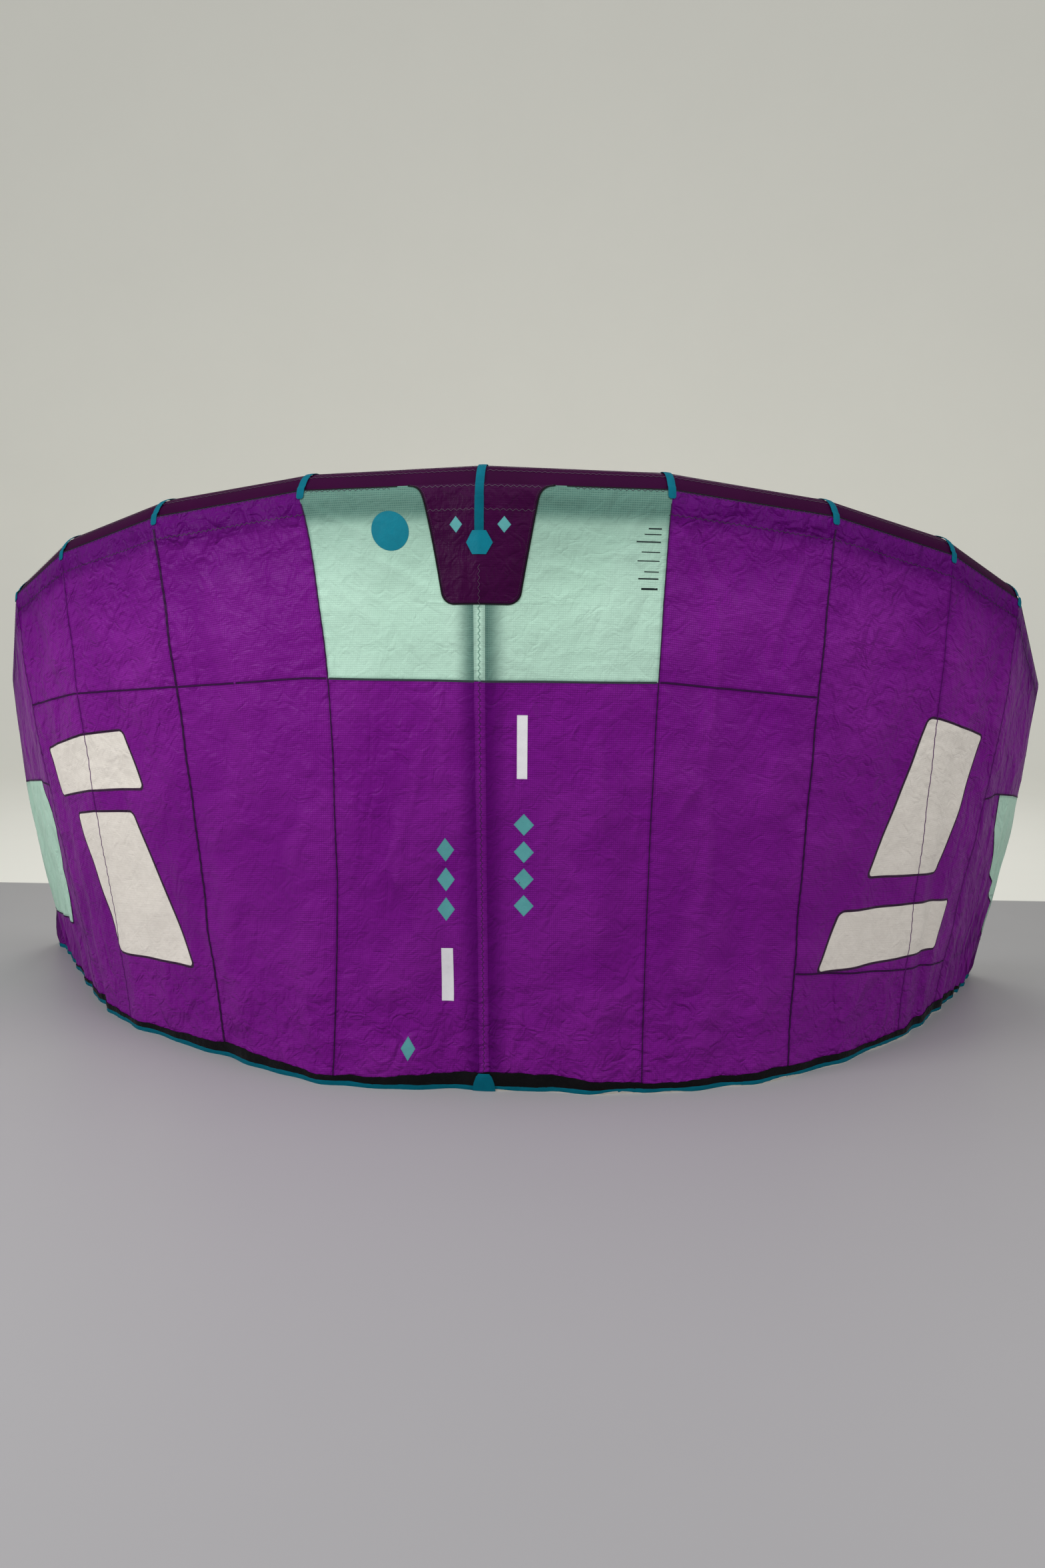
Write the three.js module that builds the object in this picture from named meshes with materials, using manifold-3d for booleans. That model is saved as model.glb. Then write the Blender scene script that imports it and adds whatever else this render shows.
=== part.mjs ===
// Inflatable kitesurfing kite standing on its trailing edge: the leading edge tube is on top,
// the tips are turned back and rest on the floor. Sizes are in millimetres.
// +X runs along the span, +Y points into the hollow behind the cloth, +Z is up; the outer skin faces -Y.
import * as THREE from 'three';
import Module from 'manifold-3d';
import { mergeVertices } from 'three/addons/utils/BufferGeometryUtils.js';

// ---------------------------------------------------------------- driving sizes
const CLOTH = 2; // canopy cloth
const TAPE = 2; // sewn tapes, bands and the strap
const BINDING = 5; // folded webbing along the hem
const CLEAR = 0.6; // free space between the tube and the cloth on it
const TIP_CLEAR = 2.6; // the same space at the tips, where the panels' seams cross the tube's edge
const BAND_WIDTH = 22; // teal tape over each joint of the tube
const STRAP_WIDTH = 23; // teal strap down the centre
const PATCH_RADIUS = 34; // six-sided patch at the strap's end
const BINDING_HEIGHT = 18;
const HEM_BAND_HEIGHT = 22; // black band above the binding
const TUBE_SIDES = 20;
const TUBE_STEPS = 4; // rings along each tube segment
const STRUT_SIDES = 16;
const STRUT = { top: 60, foot: 50, from: 0.035, to: 0.972, steps: 14 };
const LEAVE_ANGLE = THREE.MathUtils.degToRad(8); // where the cloth leaves the tube, from the rib's front
const FACET = 2 * Math.PI / TUBE_SIDES; // the cloth lies on one facet of the tube
const CAMBER = 31; // outward bulge of the centre rib
const SPLIT_U = 0.0006; // half the space between two gores, in gores
const TUBE_SPLIT = 0.2; // half the space between two tube segments
const SPLIT_Q = 0.0004; // half the space between two panels of a gore, in ribs
const TIP_END = 7.7; // the cloth ends just before the foot of the tip
const GORE_WIDTH = 450; // mean width of a gore, to turn lengths into parts of a gore
const GORE_STEPS = 8;
const TIP_STEP = 0.2;

// One row for each joint of the tube, left tip to right tip: middle and radius of the tube,
// foot of the rib that starts there, and how far that rib's seam bows towards the centre.
const JOINTS = [
  { x: -1982, y: 1552, z: 0, r: 42, footX: -1970, footY: 1503, bow: 0, flare: 34 },
  { x: -1938, y: 1484, z: 232, r: 54, footX: -1937, footY: 1445, bow: 0 },
  { x: -1909, y: 1240, z: 764, r: 65, footX: -1862, footY: 1323, bow: 0 },
  { x: -1780, y: 932, z: 1195, r: 78, footX: -1720, footY: 1094, bow: 0 },
  { x: -1586, y: 610, z: 1471, r: 89, footX: -1520, footY: 779, bow: 0 },
  { x: -1340, y: 414, z: 1591, r: 97, footX: -1298, footY: 510, bow: 19 },
  { x: -969, y: 211, z: 1680, r: 102, footX: -873, footY: 222, bow: 23 },
  { x: -501, y: 69, z: 1735, r: 104, footX: -469, footY: 6, bow: 66 },
  { x: 0, y: -28, z: 1748, r: 104, footX: 0, footY: 0, bow: 0 },
  { x: 505, y: 42, z: 1734, r: 104, footX: 477, footY: 6, bow: 18 },
  { x: 971, y: 190, z: 1676, r: 102, footX: 938, footY: 169, bow: 25 },
  { x: 1353, y: 379, z: 1588, r: 97, footX: 1367, footY: 555, bow: 15 },
  { x: 1609, y: 568, z: 1469, r: 89, footX: 1566, footY: 848, bow: -20 },
  { x: 1797, y: 875, z: 1192, r: 78, footX: 1698, footY: 1073, bow: 0 },
  { x: 1870, y: 1198, z: 759, r: 65, footX: 1771, footY: 1208, bow: 0 },
  { x: 1854, y: 1401, z: 215, r: 54, footX: 1794, footY: 1275, bow: 0 },
  { x: 1808, y: 1365, z: 0, r: 42, footX: 1805, footY: 1317, bow: 0, flare: 26 },
];
const LAST = (JOINTS.length - 1) / 2; // joints are numbered from -LAST to LAST

// Cross seam of each gore, as a part of the rib from the tube down, at its inner and outer rib.
const GORES = [
  { side: -1, number: 1, seamIn: 0.291, seamOut: 0.288 },
  { side: -1, number: 2, seamIn: 0.288, seamOut: 0.285 },
  { side: -1, number: 3, seamIn: 0.285, seamOut: 0.266 },
  { side: -1, number: 4, seamIn: 0.266, seamOut: 0.24 },
  { side: 1, number: 1, seamIn: 0.291, seamOut: 0.289 },
  { side: 1, number: 2, seamIn: 0.289, seamOut: 0.293 },
  { side: 1, number: 3, seamIn: 0.797, seamOut: 0.835 },
  { side: 1, number: 4, seamIn: 0.835, seamOut: 0.855 },
];

// Main folds: each runs from (u1, q1) to (u2, q2), with its half width and its height in millimetres.
const FOLDS = [
  { u1: -1.88, q1: 0.04, u2: -1.48, q2: 0.55, wide: 55, high: -9 },
  { u1: -1.0, q1: 0.3, u2: -0.62, q2: 0.75, wide: 60, high: 8 },
  { u1: -0.5, q1: 0.62, u2: -0.12, q2: 0.98, wide: 55, high: -8 },
  { u1: -2.85, q1: 0.02, u2: -2.45, q2: 0.3, wide: 50, high: 9 },
  { u1: -2.3, q1: 0.55, u2: -1.6, q2: 0.95, wide: 60, high: 8 },
  { u1: -3.7, q1: 0.03, u2: -3.3, q2: 0.3, wide: 50, high: -8 },
  { u1: 1.1, q1: 0.04, u2: 1.35, q2: 0.4, wide: 55, high: -9 },
  { u1: 1.35, q1: 0.3, u2: 1.3, q2: 0.98, wide: 60, high: -8 },
  { u1: 0.55, q1: 0.32, u2: 0.75, q2: 0.8, wide: 60, high: 8 },
  { u1: 1.9, q1: 0.03, u2: 1.65, q2: 0.6, wide: 55, high: 8 },
  { u1: 0.2, q1: 0.6, u2: 0.55, q2: 0.98, wide: 55, high: 7 },
  { u1: 2.85, q1: 0.02, u2: 2.4, q2: 0.4, wide: 50, high: 8 },
  { u1: 2.2, q1: 0.55, u2: 2.3, q2: 0.98, wide: 60, high: -7 },
  { u1: 3.8, q1: 0.04, u2: 3.3, q2: 0.35, wide: 50, high: 8 },
];

// Trapezoid patch over the centre of the tube: half width at its top and foot, in gores, and its foot.
const CENTRE_PATCH = { top: 0.35, foot: 0.19, to: 0.173 };
// Mint panel of a tip: heights of its upper seam at rib 4 and of its lower seam, and its end on the tube.
const MINT_TIP = { top: 832, foot: 195, end: 7, corner: 0.03 };
const HEM_TAPER = { from: 4.6, to: 5.8, end: 5.6 }; // where the black band narrows and ends, in gores

const material = (color, roughness) => new THREE.MeshStandardMaterial({ color, roughness, metalness: 0 });
const FINISH = {
  purple: material(0x6a1c7c, 0.55),
  plum: material(0x3f0537, 0.6),
  mint: material(0xa4ccb9, 0.55),
  teal: material(0x1f8fa6, 0.6),
  navy: material(0x1d2b40, 0.6),
  cream: material(0xc6bfb2, 0.6),
  black: material(0x17151a, 0.65),
};

// ---------------------------------------------------------------- the curved skin
const lerp = THREE.MathUtils.lerp;
const clamp = THREE.MathUtils.clamp;
const middles = JOINTS.map((row) => new THREE.Vector3(row.x, row.y, row.z));
const feet = JOINTS.map((row) => new THREE.Vector3(row.footX, row.footY, 0));
const RIB = middles[LAST].z;
const lengths = middles.slice(1).map((point, index) => point.distanceTo(middles[index]));
const frames = middles.map(jointFrame);
const hemJoints = feet.map((foot, i) => foot.clone().addScaledVector(frames[i].front, JOINTS[i].flare ?? 0));

// Plane of joint i: front points out of the kite, square to the rib, and up points away from the rib.
function jointFrame(middle, i) {
  const before = i > 0 ? middle.clone().sub(middles[i - 1]).normalize() : null;
  const after = i < middles.length - 1 ? middles[i + 1].clone().sub(middle).normalize() : null;
  const along = before && after ? before.add(after).normalize() : new THREE.Vector3(0, 0, before ? -1 : 1);
  const rib = feet[i].clone().sub(middle);
  const front = along.clone().cross(rib).normalize().negate();
  const up = along.clone().cross(front);
  if (up.dot(rib) > 0) up.negate();
  return { front, up };
}

// Splits a place along the span, counted in joints, into a joint's index and the rest.
function station(u) {
  const index = clamp(Math.floor(u + LAST), 0, JOINTS.length - 2);
  return { index, part: u + LAST - index };
}

// Point at the given angle round joint i, at a distance from the tube's wall.
function ringPoint(i, angle, offset) {
  const radius = JOINTS[i].r + offset;
  return middles[i].clone()
    .addScaledVector(frames[i].front, radius * Math.cos(angle))
    .addScaledVector(frames[i].up, radius * Math.sin(angle));
}

function tubePoint(u, angle, offset) {
  const { index, part } = station(u);
  return ringPoint(index, angle, offset).lerp(ringPoint(index + 1, angle, offset), part);
}

// Free space between the tube and the cloth.
function clearance(u) {
  return lerp(CLEAR, TIP_CLEAR, clamp(Math.abs(u) - 3, 0, 1));
}

function outward(u) {
  const { index, part } = station(u);
  return frames[index].front.clone().lerp(frames[index + 1].front, part).normalize();
}

// The hem on the floor: a smooth line through the feet of the ribs, with small uneven waves.
function hemPoint(u) {
  const { index, part } = station(u);
  const foot = (i) => hemJoints[clamp(i, 0, feet.length - 1)];
  const [p0, p1, p2, p3] = [foot(index - 1), foot(index), foot(index + 1), foot(index + 2)];
  const smooth = (a, b, c, d) => 0.5 * (2 * b + (c - a) * part + (2 * a - 5 * b + 4 * c - d) * part ** 2
    + (3 * b - a - 3 * c + d) * part ** 3);
  const wave = 5 * Math.sin(10.7 * u + 0.8) + 3.5 * Math.sin(17.9 * u + 2.1);
  const point = new THREE.Vector3(smooth(p0.x, p1.x, p2.x, p3.x), smooth(p0.y, p1.y, p2.y, p3.y), 0);
  return point.addScaledVector(flatOutward(u), wave * clamp(TIP_END - Math.abs(u), 0, 1));
}

function flatOutward(u) {
  return outward(u).setZ(0).normalize();
}

// The rib seams bow towards the centre between the tube and the hem.
function drift(u, q) {
  const { index, part } = station(u);
  const bowAt = (i) => -Math.sign(i - LAST) * JOINTS[i].bow / GORE_WIDTH;
  return lerp(bowAt(index), bowAt(index + 1), part) * Math.sin(Math.PI * q ** 0.8);
}

function foldHeight(u, q) {
  return FOLDS.reduce((sum, fold) => {
    const t = (q - fold.q1) / (fold.q2 - fold.q1);
    if (t <= 0 || t >= 1) return sum;
    const across = (u - lerp(fold.u1, fold.u2, t)) * GORE_WIDTH / fold.wide;
    return sum + fold.high * Math.sin(Math.PI * t) * Math.exp(-across * across);
  }, 0);
}

// Inner face of the cloth. q runs from -1, the cloth's upper edge on the tube, over 0, where it leaves
// the tube, to 1 at the floor; u counts joints along the span.
function skin(u, q) {
  const clear = clearance(u);
  if (q <= 0) return tubePoint(u, LEAVE_ANGLE, clear).lerp(tubePoint(u, LEAVE_ANGLE + FACET, clear), -q);
  const across = u + drift(u, q);
  const bulge = CAMBER * Math.sqrt(1 - Math.abs(across) / LAST) * 6.75 * q * (1 - q) ** 2;
  return tubePoint(across, LEAVE_ANGLE, clear)
    .lerp(hemPoint(across), q)
    .addScaledVector(outward(across), bulge + foldHeight(across, q));
}

// Unit vector square to the cloth, pointing out of the kite.
function skinNormal(u, q) {
  const du = 0.02;
  const dq = 0.01;
  const along = skin(u + du, q).sub(skin(u - du, q));
  const down = skin(u, Math.min(q + dq, 1)).sub(skin(u, Math.max(q - dq, -1)));
  const normal = along.cross(down).normalize();
  return normal.dot(outward(u)) < 0 ? normal.negate() : normal;
}

// Part of the rib at which the cloth is at height z.
function levelAt(u, z) {
  return 1 - z / tubePoint(u, LEAVE_ANGLE, CLEAR).z;
}

function hemBandTop(u) {
  const taper = clamp((HEM_TAPER.to - Math.abs(u)) / (HEM_TAPER.to - HEM_TAPER.from), 0, 1);
  return BINDING_HEIGHT + 0.5 + HEM_BAND_HEIGHT * taper;
}

// ---------------------------------------------------------------- meshes
const kite = new THREE.Group();

// Adds a closed mesh with its faces pointing out.
function addSolid(name, finish, points, triangles) {
  const corner = (k) => points[k];
  const volume = triangles.reduce((sum, [a, b, c]) => sum + corner(a).dot(corner(b).clone().cross(corner(c))), 0);
  const faces = volume < 0 ? triangles.map(([a, b, c]) => [a, c, b]) : triangles;
  const geometry = new THREE.BufferGeometry().setFromPoints(points);
  geometry.setIndex(faces.flat());
  addMesh(name, finish, geometry);
}

function addMesh(name, finish, geometry) {
  geometry.computeVertexNormals();
  const mesh = new THREE.Mesh(geometry, finish);
  mesh.name = name;
  kite.add(mesh);
}

// Row of a panel that starts on the tube: its second row is where the cloth leaves the tube.
function rowFromTube(t, rows, top, bottom) {
  const row = Math.round(t * rows);
  return row === 0 ? top : lerp(Math.max(0, top + 0.012), bottom, (row - 1) / (rows - 1));
}

// Closed sheet between two grids of (columns + 1) x (rows + 1) points; face(s, t) gives [inner, outer].
function addSheet(name, finish, columns, rows, face) {
  const points = [];
  for (let i = 0; i <= columns; i += 1) {
    for (let j = 0; j <= rows; j += 1) points.push(...face(i / columns, j / rows));
  }
  const at = (i, j, outer) => 2 * (i * (rows + 1) + j) + outer;
  const triangles = [];
  const quad = (a, b, c, d) => triangles.push([a, b, c], [a, c, d]);
  for (let i = 0; i < columns; i += 1) {
    for (let j = 0; j < rows; j += 1) {
      quad(at(i, j, 1), at(i + 1, j, 1), at(i + 1, j + 1, 1), at(i, j + 1, 1));
      quad(at(i, j, 0), at(i, j + 1, 0), at(i + 1, j + 1, 0), at(i + 1, j, 0));
    }
    quad(at(i, 0, 0), at(i + 1, 0, 0), at(i + 1, 0, 1), at(i, 0, 1));
    quad(at(i, rows, 1), at(i + 1, rows, 1), at(i + 1, rows, 0), at(i, rows, 0));
  }
  for (let j = 0; j < rows; j += 1) {
    quad(at(0, j, 1), at(0, j + 1, 1), at(0, j + 1, 0), at(0, j, 0));
    quad(at(columns, j, 0), at(columns, j + 1, 0), at(columns, j + 1, 1), at(columns, j, 1));
  }
  addSolid(name, finish, points, triangles);
}

// Piece of canopy cloth; place(s, t) gives its [u, q].
function addCloth(name, finish, columns, rows, place, lift = 0, thickness = CLOTH) {
  addSheet(name, finish, columns, rows, (s, t) => {
    const [u, q] = place(s, t);
    const normal = skinNormal(u, q);
    const point = skin(u, q);
    return [lift, lift + thickness].map((offset) => point.clone().addScaledVector(normal, offset));
  });
}

// Closed tube through rings of points.
function ringSolid(rings) {
  const sides = rings[0].length;
  const points = rings.flat();
  const triangles = [];
  for (let k = 0; k < rings.length - 1; k += 1) {
    for (let j = 0; j < sides; j += 1) {
      const [a, b] = [k * sides + j, k * sides + (j + 1) % sides];
      triangles.push([a, b, b + sides], [a, b + sides, a + sides]);
    }
  }
  const last = (rings.length - 1) * sides;
  for (let j = 1; j < sides - 1; j += 1) {
    triangles.push([0, j + 1, j], [last, last + j, last + j + 1]);
  }
  return { points, triangles };
}

function tubeRings(from, to, steps, offset) {
  return Array.from({ length: steps + 1 }, (_, k) => Array.from({ length: TUBE_SIDES }, (__, j) =>
    tubePoint(lerp(from, to, k / steps), LEAVE_ANGLE + FACET * j, offset)));
}

const sides = [{ side: -1, word: 'left' }, { side: 1, word: 'right' }];

// ---------------------------------------------------------------- leading edge tube
const SEGMENTS = [
  { from: 0, to: 1, finish: FINISH.plum },
  { from: 1, to: 2, finish: FINISH.plum },
  { from: 2, to: 3, finish: FINISH.plum },
  { from: 3, to: 4, finish: FINISH.plum },
  { from: 4, to: 5, finish: FINISH.plum },
  { from: 5, to: 6, finish: FINISH.plum },
  { from: 6, to: 6.5, finish: FINISH.mint },
  { from: 6.5, to: 7, finish: FINISH.navy },
  { from: 7, to: LAST, finish: FINISH.cream },
];

function addTubeSegments({ side, word }) {
  SEGMENTS.forEach((segment, index) => {
    const length = lengths[station(side * (segment.from + 0.25)).index];
    const start = segment.from + TUBE_SPLIT / length;
    const end = segment.to === LAST ? LAST : segment.to - TUBE_SPLIT / length;
    const rings = tubeRings(side * start, side * end, Math.ceil(TUBE_STEPS * (segment.to - segment.from)), 0);
    const { points, triangles } = ringSolid(rings);
    addSolid(`tube_${word}_${index + 1}`, segment.finish, points, triangles);
  });
}

// Tape over a joint of the tube, open at the front below the cloth's upper edge.
function addJointBand({ side, word }, joint) {
  const facets = [0.5, ...Array.from({ length: TUBE_SIDES - 2 }, (_, k) => k + 1)];
  addSheet(`band_${word}_${joint}`, FINISH.teal, 2, facets.length - 1, (s, t) => {
    const u = side * joint + (s - 0.5) * BAND_WIDTH / lengths[side * joint + LAST];
    const facet = facets[Math.round(t * (facets.length - 1))];
    const inner = facet <= 1 ? clearance(u) + CLOTH + CLEAR : CLEAR;
    return [inner, inner + TAPE].map((offset) => tubePoint(u, LEAVE_ANGLE + FACET * facet, offset));
  });
}

// ---------------------------------------------------------------- canopy panels
function addGore({ side, word }, gore) {
  const inner = gore.number - 1 + SPLIT_U;
  const outer = gore.number - SPLIT_U;
  const seam = (s) => lerp(gore.seamIn, gore.seamOut, s);
  const across = (s) => side * lerp(inner, outer, s);
  const foot = (s) => levelAt(across(s), hemBandTop(across(s)) + 0.8);
  const high = gore.seamIn > 0.5;
  const name = `gore_${word}_${gore.number}`;
  if (gore.number > 1) {
    addCloth(`${name}_upper`, FINISH.purple, GORE_STEPS, high ? 12 : 7,
      (s, t) => [across(s), rowFromTube(t, high ? 12 : 7, -1, seam(s) - SPLIT_Q)]);
  }
  addCloth(`${name}_lower`, FINISH.purple, GORE_STEPS, high ? 3 : 8,
    (s, t) => [across(s), lerp(seam(s) + SPLIT_Q, foot(s), t)]);
}

// A level seam's half space; on the tube it is a part of the facet's width.
function seamSplit(q) {
  return q < 0 ? 0.014 : SPLIT_Q;
}

function patchEdge(q) {
  return lerp(CENTRE_PATCH.top, CENTRE_PATCH.foot, clamp(q / CENTRE_PATCH.to, 0, 1));
}

// Mint panel beside the centre patch; its rows below the patch reach the centre line.
function addMintPanel({ side, word }, gore) {
  const above = 6;
  const below = 2;
  const rows = above + 1 + below;
  addCloth(`mint_${word}`, FINISH.mint, GORE_STEPS, rows, (s, t) => {
    const row = Math.round(t * rows);
    const under = row > above;
    const q = under
      ? lerp(CENTRE_PATCH.to + 0.003, lerp(gore.seamIn, gore.seamOut, s) - SPLIT_Q, (row - above - 1) / below)
      : rowFromTube(row / above, above, -1, CENTRE_PATCH.to);
    const edge = under ? SPLIT_U : patchEdge(q) + SPLIT_U;
    return [side * lerp(edge, gore.number - SPLIT_U, s), q];
  });
}

// The tip beyond rib 4: purple above, a mint panel between two level seams, purple below.
function addTip({ side, word }) {
  const start = 4 + 3 * SPLIT_U;
  const seamTop = (u) => lerp(levelAt(side * u, MINT_TIP.top), -1, clamp(u - 5, 0, 1) ** 2);
  const seamFoot = (u) => lerp(levelAt(side * Math.min(u, 6.8), MINT_TIP.foot), MINT_TIP.corner, clamp((u - 6.8) / 0.2, 0, 1));
  const columns = (to) => Math.ceil((to - 4) / TIP_STEP - 0.01);
  const across = (s, to) => clamp(4 + TIP_STEP * Math.round(s * columns(to)), start, to);
  addCloth(`tip_${word}_upper`, FINISH.purple, columns(5.8), 6, (s, t) => {
    const u = across(s, 5.8);
    return [side * u, lerp(-1, seamTop(u) - seamSplit(seamTop(u)), t)];
  });
  addCloth(`tip_${word}_mint`, FINISH.mint, columns(MINT_TIP.end), 7, (s, t) => {
    const u = across(s, MINT_TIP.end);
    const top = u > 5.9 ? -1 : seamTop(u) + seamSplit(seamTop(u));
    return [side * u, rowFromTube(t, 7, top, seamFoot(u) - SPLIT_Q)];
  });
  addCloth(`tip_${word}_lower`, FINISH.purple, columns(TIP_END), 5, (s, t) => {
    const u = across(s, TIP_END);
    const top = u > MINT_TIP.end + 0.1 ? -1 : seamFoot(u) + seamSplit(seamFoot(u));
    return [side * u, rowFromTube(t, 5, top, levelAt(side * u, hemBandTop(u) + 0.8))];
  });
}

// Strip along the hem between two heights; its faces stand square to the floor.
function addHemStrip(name, finish, side, end, bottom, top, offsets) {
  const stations = [];
  for (let k = 0; k <= 4 * GORE_STEPS; k += 1) stations.push(k / GORE_STEPS);
  for (let k = 1; 4 + k * TIP_STEP < end; k += 1) stations.push(4 + k * TIP_STEP);
  stations.push(end);
  addSheet(name, finish, stations.length - 1, 1, (s, t) => {
    const u = side * Math.max(stations[Math.round(s * (stations.length - 1))], SPLIT_U);
    const point = skin(u, levelAt(u, lerp(bottom, top(u), t)));
    if (t === 0) point.setZ(bottom);
    return offsets.map((offset) => point.clone().addScaledVector(flatOutward(u), offset));
  });
}

// ---------------------------------------------------------------- strut, strap and tab
// Inflated strut behind the centre rib, cut to the leading edge tube.
async function addStrut() {
  const wasm = await Module();
  wasm.setup();
  const rings = Array.from({ length: STRUT.steps + 1 }, (_, k) => {
    const q = lerp(STRUT.from, STRUT.to, k / STRUT.steps);
    const ending = k === STRUT.steps ? 0.55 : 1;
    const radius = lerp(STRUT.top, STRUT.foot, k / STRUT.steps);
    const back = skinNormal(0, q).negate();
    const middle = skin(0, q).addScaledVector(back, radius + CLEAR + 2);
    return Array.from({ length: STRUT_SIDES }, (__, j) => {
      const angle = 2 * Math.PI * j / STRUT_SIDES;
      return middle.clone()
        .addScaledVector(new THREE.Vector3(1, 0, 0), ending * radius * Math.cos(angle))
        .addScaledVector(back, ending * radius * Math.sin(angle));
    });
  });
  const strut = toManifold(wasm, ringSolid(rings));
  const tube = toManifold(wasm, ringSolid(tubeRings(-1, 1, 6, CLEAR)));
  addMesh('centre_strut', FINISH.plum, toGeometry(strut.subtract(tube)));
}

function toManifold(wasm, { points, triangles }) {
  const geometry = new THREE.BufferGeometry().setFromPoints(points);
  geometry.setIndex(triangles.flat());
  const merged = mergeVertices(geometry, 0.001);
  const build = (order) => new wasm.Manifold(new wasm.Mesh({
    numProp: 3,
    vertProperties: merged.attributes.position.array,
    triVerts: Uint32Array.from(order),
  }));
  const index = Array.from(merged.index.array);
  const solid = build(index);
  return solid.volume() > 0 ? solid : build(index.reverse());
}

function toGeometry(solid) {
  const { vertProperties, triVerts } = solid.getMesh();
  const geometry = new THREE.BufferGeometry();
  geometry.setAttribute('position', new THREE.BufferAttribute(vertProperties, 3));
  geometry.setIndex(new THREE.BufferAttribute(triVerts, 1));
  return geometry;
}

// Strap over the top of the tube and down the centre patch, with a six-sided patch at its end.
function addStrap() {
  const half = STRAP_WIDTH / 2 / lengths[LAST];
  const lift = CLOTH + CLEAR;
  const end = 0.062;
  const down = [-6, -5, -4, -3, -2, -1, 0, end / 2, end];
  addSheet('centre_strap', FINISH.teal, 2, down.length - 1, (s, t) => {
    const q = down[Math.round(t * (down.length - 1))];
    const u = lerp(-half, half, s);
    const offsets = (q < -1 ? [CLEAR, CLEAR + TAPE] : [lift, lift + TAPE]);
    if (q <= 0) return offsets.map((offset) => tubePoint(u, LEAVE_ANGLE - FACET * q, offset + (q < -1 ? 0 : CLEAR)));
    return offsets.map((offset) => skin(u, q).addScaledVector(skinNormal(u, q), offset));
  });
  const centre = end + (PATCH_RADIUS + 1) / RIB;
  addCloth('strap_patch', FINISH.teal, 2, 2, (s, t) => {
    const across = 2 * s - 1;
    const tall = PATCH_RADIUS * (1 - Math.abs(across) / 2);
    return [across * 0.866 * PATCH_RADIUS / lengths[LAST], centre + (2 * t - 1) * tall / RIB];
  }, lift, TAPE);
}

// Tab sewn over the binding and the black band at the centre of the hem.
function addTab() {
  const rows = [
    { z: 1, half: 31, lift: BINDING + CLEAR },
    { z: BINDING_HEIGHT + 1, half: 29, lift: BINDING + CLEAR },
    { z: 41, half: 20, lift: CLOTH + 1 + CLEAR },
  ];
  addSheet('hem_tab', FINISH.teal, 2, rows.length - 1, (s, t) => {
    const row = rows[Math.round(t * (rows.length - 1))];
    const u = lerp(-row.half, row.half, s) / lengths[LAST];
    const point = skin(u, levelAt(u, row.z));
    return [row.lift, row.lift + TAPE].map((offset) => point.clone().addScaledVector(flatOutward(u), offset));
  });
}

// ---------------------------------------------------------------- assembly
for (const half of sides) {
  addTubeSegments(half);
  for (let joint = 1; joint <= 4; joint += 1) addJointBand(half, joint);
  const gores = GORES.filter((gore) => gore.side === half.side);
  gores.forEach((gore) => addGore(half, gore));
  addMintPanel(half, gores[0]);
  addTip(half);
  addHemStrip(`hem_band_${half.word}`, FINISH.black, half.side, HEM_TAPER.end,
    BINDING_HEIGHT + 0.5, (u) => hemBandTop(u), [0, CLOTH + 1]);
  addHemStrip(`hem_binding_${half.word}`, FINISH.teal, half.side, TIP_END,
    0, () => BINDING_HEIGHT, [0, BINDING]);
}
addCloth('centre_patch', FINISH.plum, 6, 6, (s, t) => {
  const q = rowFromTube(t, 6, -1, CENTRE_PATCH.to - SPLIT_Q);
  const edge = patchEdge(q) - SPLIT_U;
  return [lerp(-edge, edge, s), q];
});
await addStrut();
addStrap();
addTab();

// The origin lies under the middle of the whole kite, on the floor.
const box = new THREE.Box3().setFromObject(kite);
const centre = box.getCenter(new THREE.Vector3());
kite.position.set(-centre.x, -centre.y, -box.min.z);

export default kite;
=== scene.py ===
"""Inflatable kitesurfing kite standing on its trailing edge: sailcloth canopy, inflated tubes, tapes and stitches."""

from __future__ import annotations

import logging
import math
from dataclasses import dataclass, field
from enum import Enum
from functools import cached_property, reduce
from typing import Any, Callable, Sequence, TypeAlias

import bpy
import numpy as np
from mathutils import Matrix, Vector

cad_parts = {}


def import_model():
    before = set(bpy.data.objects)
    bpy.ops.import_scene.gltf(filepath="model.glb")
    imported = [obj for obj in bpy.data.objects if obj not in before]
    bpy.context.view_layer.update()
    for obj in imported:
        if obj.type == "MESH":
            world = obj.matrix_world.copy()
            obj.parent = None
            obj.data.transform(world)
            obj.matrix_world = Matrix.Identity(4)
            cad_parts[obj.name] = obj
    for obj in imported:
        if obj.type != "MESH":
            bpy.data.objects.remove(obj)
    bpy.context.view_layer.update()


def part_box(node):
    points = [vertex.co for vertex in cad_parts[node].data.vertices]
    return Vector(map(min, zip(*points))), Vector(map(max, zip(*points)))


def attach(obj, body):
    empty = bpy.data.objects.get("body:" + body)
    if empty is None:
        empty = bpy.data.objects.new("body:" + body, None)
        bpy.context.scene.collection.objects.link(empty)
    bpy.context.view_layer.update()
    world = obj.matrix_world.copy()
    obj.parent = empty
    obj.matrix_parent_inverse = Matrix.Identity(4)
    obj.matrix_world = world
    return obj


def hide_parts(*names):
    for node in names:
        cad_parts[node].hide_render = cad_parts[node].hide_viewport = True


LOG = logging.getLogger("kite")
Array: TypeAlias = np.ndarray
Colour: TypeAlias = tuple[float, float, float]
Edge: TypeAlias = Callable[[Array], Array]  # q over u
Maps: TypeAlias = dict[str, Array]
Span: TypeAlias = tuple[float, float]
Pair: TypeAlias = tuple[Array, Array]
Place: TypeAlias = Callable[[Array, Array], Pair]  # u and q over s and t from 0 to 1
Number: TypeAlias = "Signal | float"
Key: TypeAlias = int | str  # of a node's input or output
Values: TypeAlias = dict[Any, Any]  # a node's settings or inputs

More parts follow.
